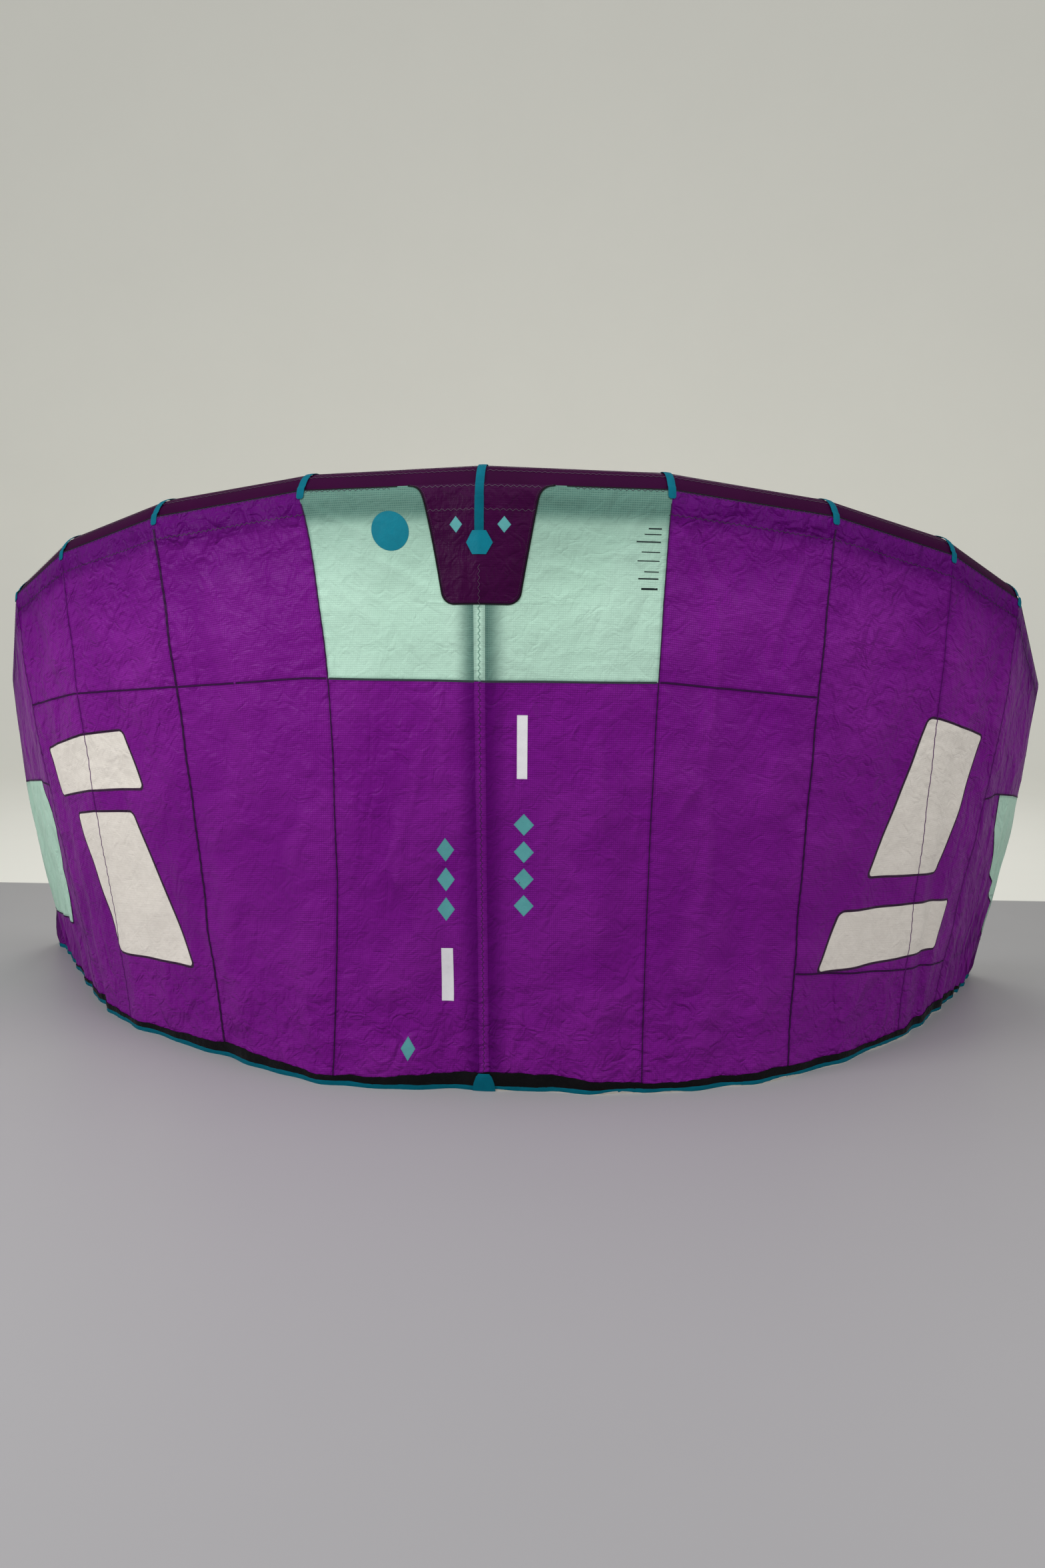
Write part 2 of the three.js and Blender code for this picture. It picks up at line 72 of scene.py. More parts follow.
MM = 0.001
SIDES = {-1: "left", 1: "right"}
LAST = 8  # joints are numbered from -LAST, the left tip, to LAST
GORE_WIDTH = 0.45  # mean width of a gore in metres
LEAVE_ANGLE = math.radians(8)  # where the cloth leaves the tube, from the rib's front
FACET = math.radians(18)  # the part of the tube that the cloth lies on
CAMBER = 0.031  # greatest bulge of the cloth between the tube and the floor
CAMBER_PEAK = 27 / 4  # one over the greatest value of q * (1 - q)**2
TIP_END = 7.7  # where the cloth ends on the tip's tube
BINDING_HEIGHT = 0.0145
# Height in millimetres of the black hem band's upper edge at places along the span.
BAND_TOPS = (
    (-5.6, 18), (-4.7, 24), (-4, 36), (-3.6, 40), (-3.1, 29), (-2.7, 33), (-2.3, 41), (-2, 49), (-1.78, 50),
    (-1.52, 42), (-1.3, 35), (-1, 31), (-0.7, 38), (-0.4, 47), (-0.15, 57), (0.25, 60), (0.5, 50), (0.8, 38),
    (1, 31), (1.2, 33), (1.7, 38), (1.9, 41), (2.45, 35), (2.7, 30), (3.2, 40), (3.6, 48), (4.3, 48),
    (5, 30), (5.7, 19),
)  # fmt: skip
# Heights over the canopy's inner face at which cloth, tapes, trims and prints lie.
CLOTH_IN, CLOTH_OUT = 0.5 * MM, 1.5 * MM
TAPE_IN, TAPE_OUT = 1.6 * MM, 2.1 * MM
TRIM_OUT = 2.9 * MM
CLOTH, TAPE = (CLOTH_IN, CLOTH_OUT), (TAPE_IN, TAPE_OUT)
PRINT_IN = TAPE_IN - 0.00005
PATCH_OUT = TAPE_OUT + 0.0006
THREAD_LIFT = 0.0003  # of a stitch's middle over the cloth that it is sewn on
SEAM_WIDTH = 0.006
SEAM_MARGIN = 0.002  # from a wide seam tape's edge to its row of stitches
FULL_CREASE = 0.004  # height at which a crease counts in full


@dataclass(frozen=True)
class Joint:
    """One joint of the leading edge tube and the rib that starts there, in millimetres."""

    x: float
    y: float
    z: float
    r: float
    foot_x: float
    foot_y: float
    bow: float = 0.0
    flare: float = 0.0


JOINTS = (
    Joint(-1982, 1552, 0, 42, -1970, 1503, 0, 34),
    Joint(-1938, 1484, 232, 54, -1937, 1445),
    Joint(-1909, 1240, 764, 65, -1862, 1323),
    Joint(-1780, 932, 1195, 78, -1720, 1094),
    Joint(-1586, 610, 1471, 89, -1520, 779),
    Joint(-1340, 414, 1591, 97, -1298, 510, 19),
    Joint(-969, 211, 1680, 102, -873, 222, 23),
    Joint(-501, 69, 1735, 104, -469, 6, 66),
    Joint(0, -28, 1748, 104, 0, 0),
    Joint(505, 42, 1734, 104, 477, 6, 18),
    Joint(971, 190, 1676, 102, 938, 169, 25),
    Joint(1353, 379, 1588, 97, 1367, 555, 15),
    Joint(1609, 568, 1469, 89, 1566, 848, -20),
    Joint(1797, 875, 1192, 78, 1698, 1073),
    Joint(1870, 1198, 759, 65, 1771, 1208),
    Joint(1854, 1401, 215, 54, 1794, 1275),
    Joint(1808, 1365, 0, 42, 1805, 1317, 0, 26),
)


@dataclass(frozen=True)
class Fold:
    """A main fold from (u1, q1) to (u2, q2) on the canopy; width and height are in millimetres."""

    u1: float
    q1: float
    u2: float
    q2: float
    wide: float
    high: float


FOLDS = (
    Fold(-1.88, 0.04, -1.48, 0.55, 55, -9),
    Fold(-1.0, 0.3, -0.62, 0.75, 60, 8),
    Fold(-0.5, 0.62, -0.12, 0.98, 55, -8),
    Fold(-2.85, 0.02, -2.45, 0.3, 50, 9),
    Fold(-2.3, 0.55, -1.6, 0.95, 60, 8),
    Fold(-3.7, 0.03, -3.3, 0.3, 50, -8),
    Fold(1.1, 0.04, 1.35, 0.4, 55, -9),
    Fold(1.35, 0.3, 1.3, 0.98, 60, -8),
    Fold(0.55, 0.32, 0.75, 0.8, 60, 8),
    Fold(1.9, 0.03, 1.65, 0.6, 55, 8),
    Fold(0.2, 0.6, 0.55, 0.98, 55, 7),
    Fold(2.85, 0.02, 2.4, 0.4, 50, 8),
    Fold(2.2, 0.55, 2.3, 0.98, 60, -7),
    Fold(3.8, 0.04, 3.3, 0.35, 50, 8),
)


@dataclass(frozen=True)
class Crease:
    """A sharp crease through places on the canopy; width and height are in millimetres."""

    places: tuple[Span, ...]
    wide: float
    high: float


CREASES = (
    Crease(((-1.8, 0.03), (-1.65, 0.13), (-1.57, 0.26), (-1.56, 0.34), (-1.52, 0.41), (-1.48, 0.51)), 9, 4.0),
    Crease(((-1.93, 0.15), (-1.87, 0.25), (-1.87, 0.34)), 8, 2.6),
    Crease(((-2.03, 0.01), (-2.07, 0.09)), 8, 2.4),
    Crease(((-0.23, 0.29), (-0.23, 0.4), (-0.22, 0.47)), 9, 2.6),
    Crease(((-0.36, 0.38), (-0.46, 0.5), (-0.55, 0.56), (-0.65, 0.6), (-0.77, 0.65)), 10, 3.2),
    Crease(((-0.52, 0.54), (-0.54, 0.6), (-0.62, 0.68)), 9, 2.8),
    Crease(((-0.62, 0.62), (-0.5, 0.7), (-0.38, 0.75)), 9, -2.6),
    Crease(((-0.2, 0.71), (-0.11, 0.77)), 8, 2.2),
    Crease(((-0.94, 0.01), (-0.64, 0.06)), 8, 2.0),
    Crease(((-0.65, 0.09), (-0.43, 0.12), (-0.27, 0.155)), 8, 2.2),
    Crease(((1.03, 0.04), (1.14, 0.07), (1.3, 0.15), (1.35, 0.19), (1.36, 0.28), (1.33, 0.37), (1.32, 0.44)), 9, 4.2),
    Crease(((1.32, 0.44), (1.36, 0.49), (1.38, 0.64), (1.34, 0.66), (1.34, 0.82)), 10, 3.6),
    Crease(((1.85, 0.05), (1.74, 0.15), (1.64, 0.26)), 9, 3.0),
    Crease(((1.32, 0.44), (1.12, 0.52)), 8, 2.4),
    Crease(((1.74, 0.4), (1.73, 0.48)), 8, 2.2),
    Crease(((1.71, 0.72), (1.81, 0.91)), 9, 2.6),
    Crease(((0.68, 0.37), (0.73, 0.55)), 9, 2.4),
    Crease(((0.93, 0.5), (0.89, 0.6)), 8, 2.4),
    Crease(((0.49, 0.57), (0.6, 0.63)), 8, 2.0),
    Crease(((0.26, 0.82), (0.19, 0.91)), 9, 2.4),
    Crease(((0.72, 0.81), (0.8, 0.88)), 8, 2.2),
    Crease(((0.31, 0.1), (0.64, 0.125)), 8, 1.8),
    Crease(((2.64, 0.13), (2.44, 0.21)), 9, 2.6),
    Crease(((2.35, 0.14), (2.38, 0.31)), 9, 2.6),
    Crease(((2.23, 0.11), (2.73, 0.01)), 8, 2.6),
    Crease(((2.86, 0.87), (2.94, 0.98)), 9, 2.6),
)


@dataclass(frozen=True)
class CrinkleZone:
    """Part of the canopy with many small creases: angles in degrees from the span, lengths in metres."""

    u: Span
    q: Span
    count: int
    angle: float
    spread: float
    length: Span
    wide: float
    high: float


ZONES = (
    CrinkleZone((-7.6, 7.6), (0.0, 1.0), 900, 60, 80, (0.04, 0.14), 4.5, 0.9),
    CrinkleZone((-4.0, -2.0), (0.01, 0.16), 110, 55, 22, (0.06, 0.2), 5, 1.5),
    CrinkleZone((-2.0, -1.0), (0.01, 0.2), 40, 75, 30, (0.06, 0.2), 5, 1.3),
    CrinkleZone((1.0, 2.0), (0.01, 0.2), 45, 100, 30, (0.06, 0.2), 5, 1.3),
    CrinkleZone((2.0, 4.0), (0.01, 0.2), 120, 128, 25, (0.06, 0.22), 5, 1.5),
    CrinkleZone((-4.0, 4.0), (0.78, 0.97), 160, 10, 35, (0.06, 0.2), 5, 1.4),
    CrinkleZone((-2.0, -1.0), (0.5, 0.9), 60, 15, 30, (0.08, 0.24), 6, 1.6),
    CrinkleZone((-1.0, 1.0), (0.3, 0.9), 110, 70, 45, (0.08, 0.22), 6, 1.5),
    CrinkleZone((1.0, 2.0), (0.3, 0.95), 80, 80, 40, (0.08, 0.22), 6, 1.5),
    CrinkleZone((-1.0, 1.0), (0.02, 0.29), 70, 40, 70, (0.08, 0.25), 5, 1.0),
    CrinkleZone((4.0, 7.0), (0.05, 0.8), 160, 80, 60, (0.06, 0.2), 5, 1.4),
    CrinkleZone((-7.0, -4.0), (0.05, 0.8), 160, 100, 60, (0.06, 0.2), 5, 1.4),
)

# How each rib seam puckers: four small folds run from its top, at a shift and lean from it in metres, as deep as
# given, and with a height in millimetres.
SEAM_FOLDS = ((-0.03, -0.1, 0.12, -5.0), (0.024, 0.16, 0.16, -4.5), (0.055, 0.3, 0.2, 3.0), (-0.062, -0.3, 0.15, 3.0))


def unit(vectors: Array) -> Array:
    """Scales vectors on the last axis to length one."""
    return vectors / np.linalg.norm(vectors, axis=-1, keepdims=True)


def clamp(value: Array) -> Array:
    """Keeps values between 0 and 1."""
    return np.clip(value, 0, 1)


def smooth(value: Array, low: float, high: float) -> Array:
    """Smooth step from 0 at low to 1 at high."""
    t = clamp((value - low) / (high - low))
    return t * t * (3 - 2 * t)


def wave(x: Array, high: float, length: float, phase: Array | float = 0.0) -> Array:
    """Sine wave along x of a height and a length."""
    return high * np.sin(2 * np.pi * x / length + phase)


def run_along(points: Array) -> Array:
    """Length along a line of points, from its first."""
    return np.concatenate([[0.0], np.cumsum(np.linalg.norm(np.diff(points, axis=0), axis=1))])


def sideways(points: Array, normals: Array) -> Array:
    """Unit vectors on the cloth, square to a line of points on it."""
    return unit(np.cross(normals, unit(np.gradient(points, axis=0))))


def level(u: Array, q: float) -> Array:
    """The same q at each u."""
    return np.full_like(u, q)


def rectangle(u1: float, u2: float, q1: float, q2: float) -> Place:
    """Grid between two places along the span and two down the rib."""
    return lambda s, t: (u1 + (u2 - u1) * s, q1 + (q2 - q1) * t)


class KiteForm:
    """The kite's curved surfaces in metres. u counts joints along the span; q runs down a rib,
    from -1 at the cloth's upper edge on the tube, over 0 where it leaves the tube, to 1 at the floor."""

    def __init__(self) -> None:
        """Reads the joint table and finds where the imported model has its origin."""
        self.middles = np.array([[j.x, j.y, j.z] for j in JOINTS]) * MM
        self.radii = np.array([j.r for j in JOINTS]) * MM
        feet = np.array([[j.foot_x, j.foot_y, 0.0] for j in JOINTS]) * MM
        bows = np.array([j.bow for j in JOINTS]) * MM
        self.bows = -np.sign(np.arange(-LAST, LAST + 1)) * bows / GORE_WIDTH
        along = unit(np.diff(self.middles, axis=0))
        square = np.zeros_like(self.middles)
        square[1:-1] = unit(along[:-1] + along[1:])
        square[0, 2], square[-1, 2] = 1.0, -1.0
        ribs = feet - self.middles
        self.front = -unit(np.cross(square, ribs))
        self.up = np.cross(square, self.front)
        self.up[(self.up * ribs).sum(1) > 0] *= -1
        flares = np.array([j.flare for j in JOINTS]) * MM
        self.feet = feet + self.front * flares[:, None]
        self.rib = np.linalg.norm(self.feet - self.middles, axis=1)
        self.tube_run, self.hem_run = (run - run[LAST] for run in map(run_along, (self.middles, self.feet)))
        self.gore, self.chord = float(self.tube_run[LAST + 1]), float(self.rib[LAST])
        self.shift = np.zeros(3)
        u, angle = np.meshgrid(np.linspace(-7.0008, -8, 5), LEAVE_ANGLE + FACET * np.arange(20))
        low = self.ring(u, angle, 0.0).reshape(-1, 3).min(axis=0)
        self.shift = np.array(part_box("tube_left_9")[0]) - low
        self.shift[2] = 0.0

    @staticmethod
    def station(u: Array) -> Pair:
        """Index of the joint before u, and the part of the way to the next one."""
        index = np.clip(np.floor(np.asarray(u) + LAST), 0, 2 * LAST - 1).astype(int)
        return index, u + LAST - index

    def between(self, values: Array, u: Array) -> Array:
        """Interpolates along the span between the joints.

        Args:
            values: one number or vector for each joint.
            u: places along the span.

        Returns:
            The value at each u.
        """
        index, part = self.station(u)
        if values.ndim > 1:
            part = part[..., None]
        return values[index] * (1 - part) + values[index + 1] * part

    def width(self, start: float, end: float, run: Array | None = None) -> float:
        """Length of the tube, or along another run, between two places on the span."""
        run = self.tube_run if run is None else run
        return abs(float(self.between(run, np.array(end)) - self.between(run, np.array(start))))

    def rib_at(self, u: float) -> float:
        """Length of the rib at one place."""
        return float(self.between(self.rib, np.array(u)))

    def ring(self, u: Array, angle: Array, offset: Array | float) -> Array:
        """Points round the tube at an angle from the rib's front, at an offset from its wall.

        Args:
            u: places along the span.
            angle: angles from the rib's front.
            offset: distance out of the wall in metres.

        Returns:
            The points, (..., 3).
        """
        index, part = self.station(u)
        ends = []
        for k in (index, index + 1):
            radius = self.radii[k] + offset
            front, up = (radius * np.cos(angle))[..., None], (radius * np.sin(angle))[..., None]
            ends.append(self.middles[k] + front * self.front[k] + up * self.up[k])
        return ends[0] * (1 - part)[..., None] + ends[1] * part[..., None] + self.shift

    def middle(self, u: Array) -> Array:
        """Middle line of the tube."""
        return self.between(self.middles, u) + self.shift

    def outward(self, u: Array, flat: bool = False) -> Array:
        """Unit vectors out of the kite, level with the floor if flat."""
        out = self.between(self.front, u)
        return unit(out * np.array([1.0, 1.0, 0.0]) if flat else out)

    def hem(self, u: Array) -> Array:
        """The hem on the floor, a smooth line with small uneven waves.

        Args:
            u: places along the span.

        Returns:
            The points, (..., 3).
        """
        index, part = self.station(u)
        p0, p1, p2, p3 = (self.feet[np.clip(index + k, 0, 2 * LAST)] for k in (-1, 0, 1, 2))
        t = part[..., None]
        line = 2 * p1 + (p2 - p0) * t + (2 * p0 - 5 * p1 + 4 * p2 - p3) * t**2
        line = 0.5 * (line + (3 * p1 - p0 - 3 * p2 + p3) * t**3)
        line = line * np.array([1.0, 1.0, 0.0]) + self.shift
        uneven = (5 * np.sin(10.7 * u + 0.8) + 3.5 * np.sin(17.9 * u + 2.1)) * MM * clamp(TIP_END - np.abs(u))
        return line + self.outward(u, flat=True) * uneven[..., None]

    @staticmethod
    def leave(u: Array) -> Array:
        """Angle at which the cloth leaves the tube; at the right tip it is lower, so the tube shows."""
        return LEAVE_ANGLE - math.radians(50) * smooth(u, 6.3, 6.6)

    @staticmethod
    def clearance(u: Array) -> Array:
        """Free space between the tube and the cloth."""
        return (0.6 + 2.0 * clamp(np.abs(u) - 3)) * MM

    def skin(self, u: Array, q: Array) -> Array:
        """Inner face of the smooth cloth, without its small creases.

        Args:
            u: places along the span.
            q: places down the ribs.

        Returns:
            The points, (..., 3).
        """
        u, q = np.broadcast_arrays(np.asarray(u, float), np.asarray(q, float))
        clear, leave, down = self.clearance(u), self.leave(u), clamp(q)
        wrap = self.ring(u, leave - FACET * np.minimum(q, 0), clear)
        across = u + self.between(self.bows, u) * np.sin(np.pi * down**0.8)
        bulge = CAMBER * np.sqrt(clamp(1 - np.abs(across) / LAST)) * CAMBER_PEAK * down * (1 - down) ** 2
        bulge = bulge + self._folds(across, down)
        free = self.ring(across, leave, clear) * (1 - down)[..., None] + self.hem(across) * down[..., None]
        free = free + self.outward(across) * bulge[..., None]
        return np.where((q <= 0)[..., None], wrap, free)

    @staticmethod
    def _folds(u: Array, q: Array) -> Array:
        """Height of the main folds.

        Args:
            u: places along the span.
            q: places down the ribs.

        Returns:
            The height in metres.
        """
        total = np.zeros_like(u)
        for fold in FOLDS:
            t = (q - fold.q1) / (fold.q2 - fold.q1)
            across = (u - fold.u1 - (fold.u2 - fold.u1) * t) * GORE_WIDTH / (fold.wide * MM)
            total += np.where((t > 0) & (t < 1), fold.high * MM * np.sin(np.pi * t) * np.exp(-(across**2)), 0)
        return total

    def normal(self, u: Array, q: Array) -> Array:
        """Unit vectors square to the smooth cloth, out of the kite.

        Args:
            u: places along the span.
            q: places down the ribs.

        Returns:
            The vectors, (..., 3).
        """
        along = self.skin(u + 0.02, q) - self.skin(u - 0.02, q)
        down = self.skin(u, np.minimum(q + 0.01, 1)) - self.skin(u, np.maximum(q - 0.01, -1))
        normal = unit(np.cross(along, down))
        flip = (normal * self.outward(u)).sum(-1) < 0
        return np.where(flip[..., None], -normal, normal)

    def level_at(self, u: Array, z: Array | float) -> Array:
        """Part of the rib at which the cloth is at height z."""
        return 1 - z / self.ring(u, level(u, LEAVE_ANGLE), self.clearance(u))[..., 2]

    def weave(self, u: Array, q: Array) -> Array:
        """Place on the cloth in metres, along the span and down the rib.

        Args:
            u: places along the span.
            q: places down the ribs.

        Returns:
            The two lengths, (..., 2).
        """
        down = clamp(q)
        span = self.between(self.tube_run, u) * (1 - down) + self.between(self.hem_run, u) * down
        chord = np.where(q > 0, self.between(self.rib, u) * q, self.between(self.radii, u) * FACET * q)
        return np.stack([span, chord], -1)


class Relief:
    """Creases and crinkles of the canopy, as a height out of the smooth cloth."""

    CREASE_LIFT = 2.1  # times a crease's height in the table

    def __init__(self, form: KiteForm, seed: int = 11) -> None:
        """Places the small creases with a fixed seed.

        Args:
            form: the kite's smooth form.
            seed: seed of the random draws.
        """
        self.form = form
        rng = np.random.default_rng(seed)
        self.crinkles: list[tuple[float, ...]] = []
        for zone in (zone for zone in ZONES for _ in range(zone.count)):
            u, q = rng.uniform(*zone.u), rng.uniform(*zone.q)
            angle = math.radians(zone.angle + rng.normal(0, zone.spread / 2))
            length = rng.uniform(*zone.length)
            high = zone.high * rng.uniform(0.4, 1.2) * (1 if rng.random() < 0.62 else -0.8)
            bend = rng.normal(0, 0.5)
            wide = zone.wide * rng.uniform(0.7, 1.5) * MM
            self.crinkles.append((*self._spot(u, q), angle, length, wide, high * MM, bend))
        ranges = ((0, 2 * np.pi), (0.16, 0.5), (0, 6.3), (0.6, 1.7))
        drawn = ([rng.uniform(*ends) for ends in ranges] for _ in range(9))
        self.waves = [(angle, 2 * np.pi / length, phase, high * MM) for angle, length, phase, high in drawn]

    def _spot(self, u: float, q: float) -> Span:
        """Place on the cloth in metres, with gores of mean width."""
        return u * GORE_WIDTH, q * self.form.rib_at(u)

    def height(self, u: Array, q: Array) -> Array:
        """Height of creases, crinkles, soft waves and seam puckers in metres.

        Args:
            u: places along the span.
            q: places down the ribs.

        Returns:
            The height at each place.
        """
        u, q = np.broadcast_arrays(np.asarray(u, float), np.asarray(q, float))
        rib = self.form.between(self.form.rib, u)
        x, y = u * GORE_WIDTH, clamp(q) * rib
        total = np.zeros_like(x)
        for angle, rate, phase, high in self.waves:
            total += high * np.sin((x * math.cos(angle) + y * math.sin(angle)) * rate + phase)
        self._add_crinkles(total, x, y)
        for crease in CREASES:
            points = np.array([self._spot(*place) for place in crease.places])
            total += self.CREASE_LIFT * crease.high * MM * self._ridge(x, y, points, crease.wide * MM)
        for seam in (-4, -3, -2, -1, 1, 2, 3, 4):
            off = (u - seam) * GORE_WIDTH
            self._add_seam_folds(total, seam, off, y)
            off = np.abs(off)
            beat = np.sin(2 * np.pi * y / 0.037 + 1.7 * seam + 2.2 * np.sin(y * 9.0 + seam))
            total += 0.9 * MM * np.exp(-off / 0.022) * beat
        total += 1.1 * MM * np.exp(-(rib - y) / 0.05) * np.sin(2 * np.pi * x / 0.083 + 1.4 * np.sin(7 * x))
        total = total * (1 - 0.75 * smooth(rib - y, 0.075, 0.035))
        over_strut = np.exp(-((x / 0.05) ** 2))
        total = np.where(total < 0, total * (1 - over_strut), total)
        total = np.maximum(total, -0.4 * y**2 / self.form.between(self.form.radii, u))
        return total * smooth(q, -0.02, 0.03)

    def _add_crinkles(self, total: Array, x: Array, y: Array) -> None:
        """Adds the small creases that lie near the places.

        Args:
            total: the height to add to, in metres.
            x: places along the cloth in metres.
            y: places down the cloth in metres.
        """
        box = (x.min() - 0.15, x.max() + 0.15, y.min() - 0.15, y.max() + 0.15)
        for cx, cy, angle, length, wide, high, bend in self.crinkles:
            if not (box[0] < cx < box[1] and box[2] < cy < box[3]):
                continue
            near = (np.abs(x - cx) < length / 2 + 0.03) & (np.abs(y - cy) < length / 2 + 0.03)
            dx, dy = x[near] - cx, y[near] - cy
            along = dx * math.cos(angle) + dy * math.sin(angle)
            off = dy * math.cos(angle) - dx * math.sin(angle) - bend * along**2 / max(length, 0.05) * 0.5
            fade = clamp(1 - (2 * along / length) ** 2) ** 2
            total[near] += high * fade * np.exp(-np.abs(off) / wide)

    @staticmethod
    def _add_seam_folds(total: Array, seam: int, off: Array, y: Array) -> None:
        """Adds the folds that run from the top of a rib seam, a little uneven from seam to seam.

        Args:
            total: the height to add to, in metres.
            seam: the seam's joint.
            off: distance along the cloth from the seam in metres.
            y: places down the cloth in metres.
        """
        for shift, lean, deep, high in SEAM_FOLDS:
            away = (off - shift * (1 + 0.2 * math.sin(seam * 3.1)) - lean * y * np.sign(seam)) / 0.008
            fade = smooth(y, deep * (1 + 0.3 * math.sin(seam * 5.7)), 0.03)
            total += high * MM * np.exp(-np.abs(away)) * fade

    @staticmethod
    def _ridge(x: Array, y: Array, points: Array, wide: float) -> Array:
        """Profile of a crease along a line of points, steep on one side and fading at both ends.

        Args:
            x: places along the cloth in metres.
            y: places down the cloth in metres.
            points: the line, (n, 2).
            wide: the crease's width in metres.

        Returns:
            The profile, from 0 to 1.
        """
        best = np.full_like(x, 9.0)
        place, side = np.zeros_like(x), np.zeros_like(x)
        run = run_along(points)
        for k in range(len(points) - 1):
            (left, low), step = points[k], points[k + 1] - points[k]
            t = clamp(((x - left) * step[0] + (y - low) * step[1]) / (step @ step))
            off = np.hypot(x - left - t * step[0], y - low - t * step[1])
            closer = off < best
            best = np.where(closer, off, best)
            side = np.where(closer, (x - left) * step[1] - (y - low) * step[0], side)
            place = np.where(closer, (run[k] + t * (run[k + 1] - run[k])) / run[-1], place)
        slope = np.where(side > 0, wide * 0.8, wide * 2.6)
        return np.exp(-best / slope) * clamp(4 * place * (1 - place)) ** 0.6


# ---------------------------------------------------------------- meshes
def add_object(name: str, data: bpy.types.ID) -> bpy.types.Object:
    """Links a new object with this data to the scene.

    Args:
        name: the object's name.
        data: its mesh, light or camera.

    Returns:
        The object.
    """
    made = bpy.data.objects.new(name, data)
    bpy.context.scene.collection.objects.link(made)
    return made


def mesh_object(name: str, points: Array, faces: Array, sharp: Array, maps: Maps, values: Maps) -> bpy.types.Object:
    """Makes an object from quads.

    Args:
        name: the object's name.
        points: vertex places, (n, 3).
        faces: corner indices of each quad, (m, 4).
        sharp: whether the edges of each quad are sharp, (m,).
        maps: UV places of each vertex, by map name.
        values: numbers of each vertex, by attribute name.

    Returns:
        The object, linked to the scene, with its faces pointing out.
    """
    first, *others = (points[faces[:, k]] for k in range(4))
    halves = ((others[0], others[1]), (others[1], others[2]))
    if sum(np.einsum("ij,ij->i", first, np.cross(a, b)).sum() for a, b in halves) < 0:
        faces = faces[:, ::-1]
    mesh = bpy.data.meshes.new(name)
    mesh.vertices.add(len(points))
    mesh.vertices.foreach_set("co", points.astype(np.float32).ravel())
    mesh.loops.add(faces.size)
    mesh.loops.foreach_set("vertex_index", faces.astype(np.int32).ravel())
    mesh.polygons.add(len(faces))
    mesh.polygons.foreach_set("loop_start", np.arange(0, faces.size, 4, dtype=np.int32))
    mesh.polygons.foreach_set("use_smooth", np.ones(len(faces), dtype=bool))
    mesh.update(calc_edges=True)
    for key, places in maps.items():
        mesh.uv_layers.new(name=key).uv.foreach_set("vector", places[faces.ravel()].astype(np.float32).ravel())
    for key, numbers in values.items():
        mesh.attributes.new(key, "FLOAT", "POINT").data.foreach_set("value", numbers.astype(np.float32))
    edges = np.zeros(faces.size, dtype=np.int32)
    mesh.loops.foreach_get("edge_index", edges)
    hard = np.zeros(len(mesh.edges), dtype=bool)
    hard[edges.reshape(-1, 4)[sharp].ravel()] = True
    mesh.attributes.new("sharp_edge", "BOOLEAN", "EDGE").data.foreach_set("value", hard)
    mesh.validate()
    return add_object(name, mesh)


def grid_faces(columns: int, rows: int, closed: bool = False) -> Array:
    """Quads of a grid of (columns + 1) x (rows + 1) points, or of a tube with rows points round if closed.

    Args:
        columns: quads along the grid.
        rows: quads across it.
        closed: whether it closes into a tube.

    Returns:
        Corner indices of each quad, (n, 4).
    """
    width = rows if closed else rows + 1
    i, j = np.meshgrid(np.arange(columns), np.arange(rows), indexing="ij")
    after = (j + 1) % rows if closed else j + 1
    return np.stack([i * width + j, (i + 1) * width + j, (i + 1) * width + after, i * width + after], -1).reshape(-1, 4)


def closed_sheet(name: str, inner: Array, outer: Array, maps: Maps, values: Maps) -> bpy.types.Object:
    """Closed thin body between two grids of points, (columns + 1, rows + 1, 3) each.

    Args:
        name: the piece's name.
        inner: the inner face's grid.
        outer: the outer face's grid.
        maps: UV places over the grid, by map name.
        values: numbers over the grid, by attribute name.

    Returns:
        The piece.
    """
    columns, rows = inner.shape[0] - 1, inner.shape[1] - 1
    count = (columns + 1) * (rows + 1)
    face = grid_faces(columns, rows)
    index = np.arange(count).reshape(columns + 1, rows + 1)
    rim = np.concatenate([index[:, 0], index[-1, 1:], index[-2::-1, -1], index[0, -2:0:-1]])
    after = np.roll(rim, -1)
    wall = np.stack([after + count, rim + count, rim, after], -1)
    faces = np.concatenate([face + count, face[:, ::-1], wall])
    sharp = np.arange(len(faces)) >= 2 * len(face)
    points = np.concatenate([inner.reshape(-1, 3), outer.reshape(-1, 3)])
    maps = {key: np.tile(grid.reshape(count, -1), (2, 1)) for key, grid in maps.items()}
    values = {key: np.tile(grid.ravel(), 2) for key, grid in values.items()}
    return mesh_object(name, points, faces, sharp, maps, values)


def closed_tube(name: str, rings: Array, weave: Array) -> bpy.types.Object:
    """Closed tube through rings of points, (rings, round, 3), with fans of quads at its ends.

    Args:
        name: the piece's name.
        rings: the rings.
        weave: places on the cloth in metres, over the rings.

    Returns:
        The piece.
    """
    count, sides = rings.shape[:2]
    base, k = count * sides, np.arange(0, sides, 2)
    faces = [grid_faces(count - 1, sides, closed=True)]
    for end, ring in enumerate((0, count - 1)):
        corners = [ring * sides + (k + step) % sides for step in range(3)]
        fan = np.stack([np.full_like(k, base + end), *corners], -1)
        faces.append(fan[:, ::-1] if end else fan)
    points, places = (
        np.concatenate([grid.reshape(base, -1)] + [grid[ring].mean(axis=0)[None] for ring in (0, -1)])
        for grid in (rings, weave)
    )
    all_faces = np.concatenate(faces)
    return mesh_object(name, points, all_faces, np.zeros(len(all_faces), bool), {"weave": places}, {})


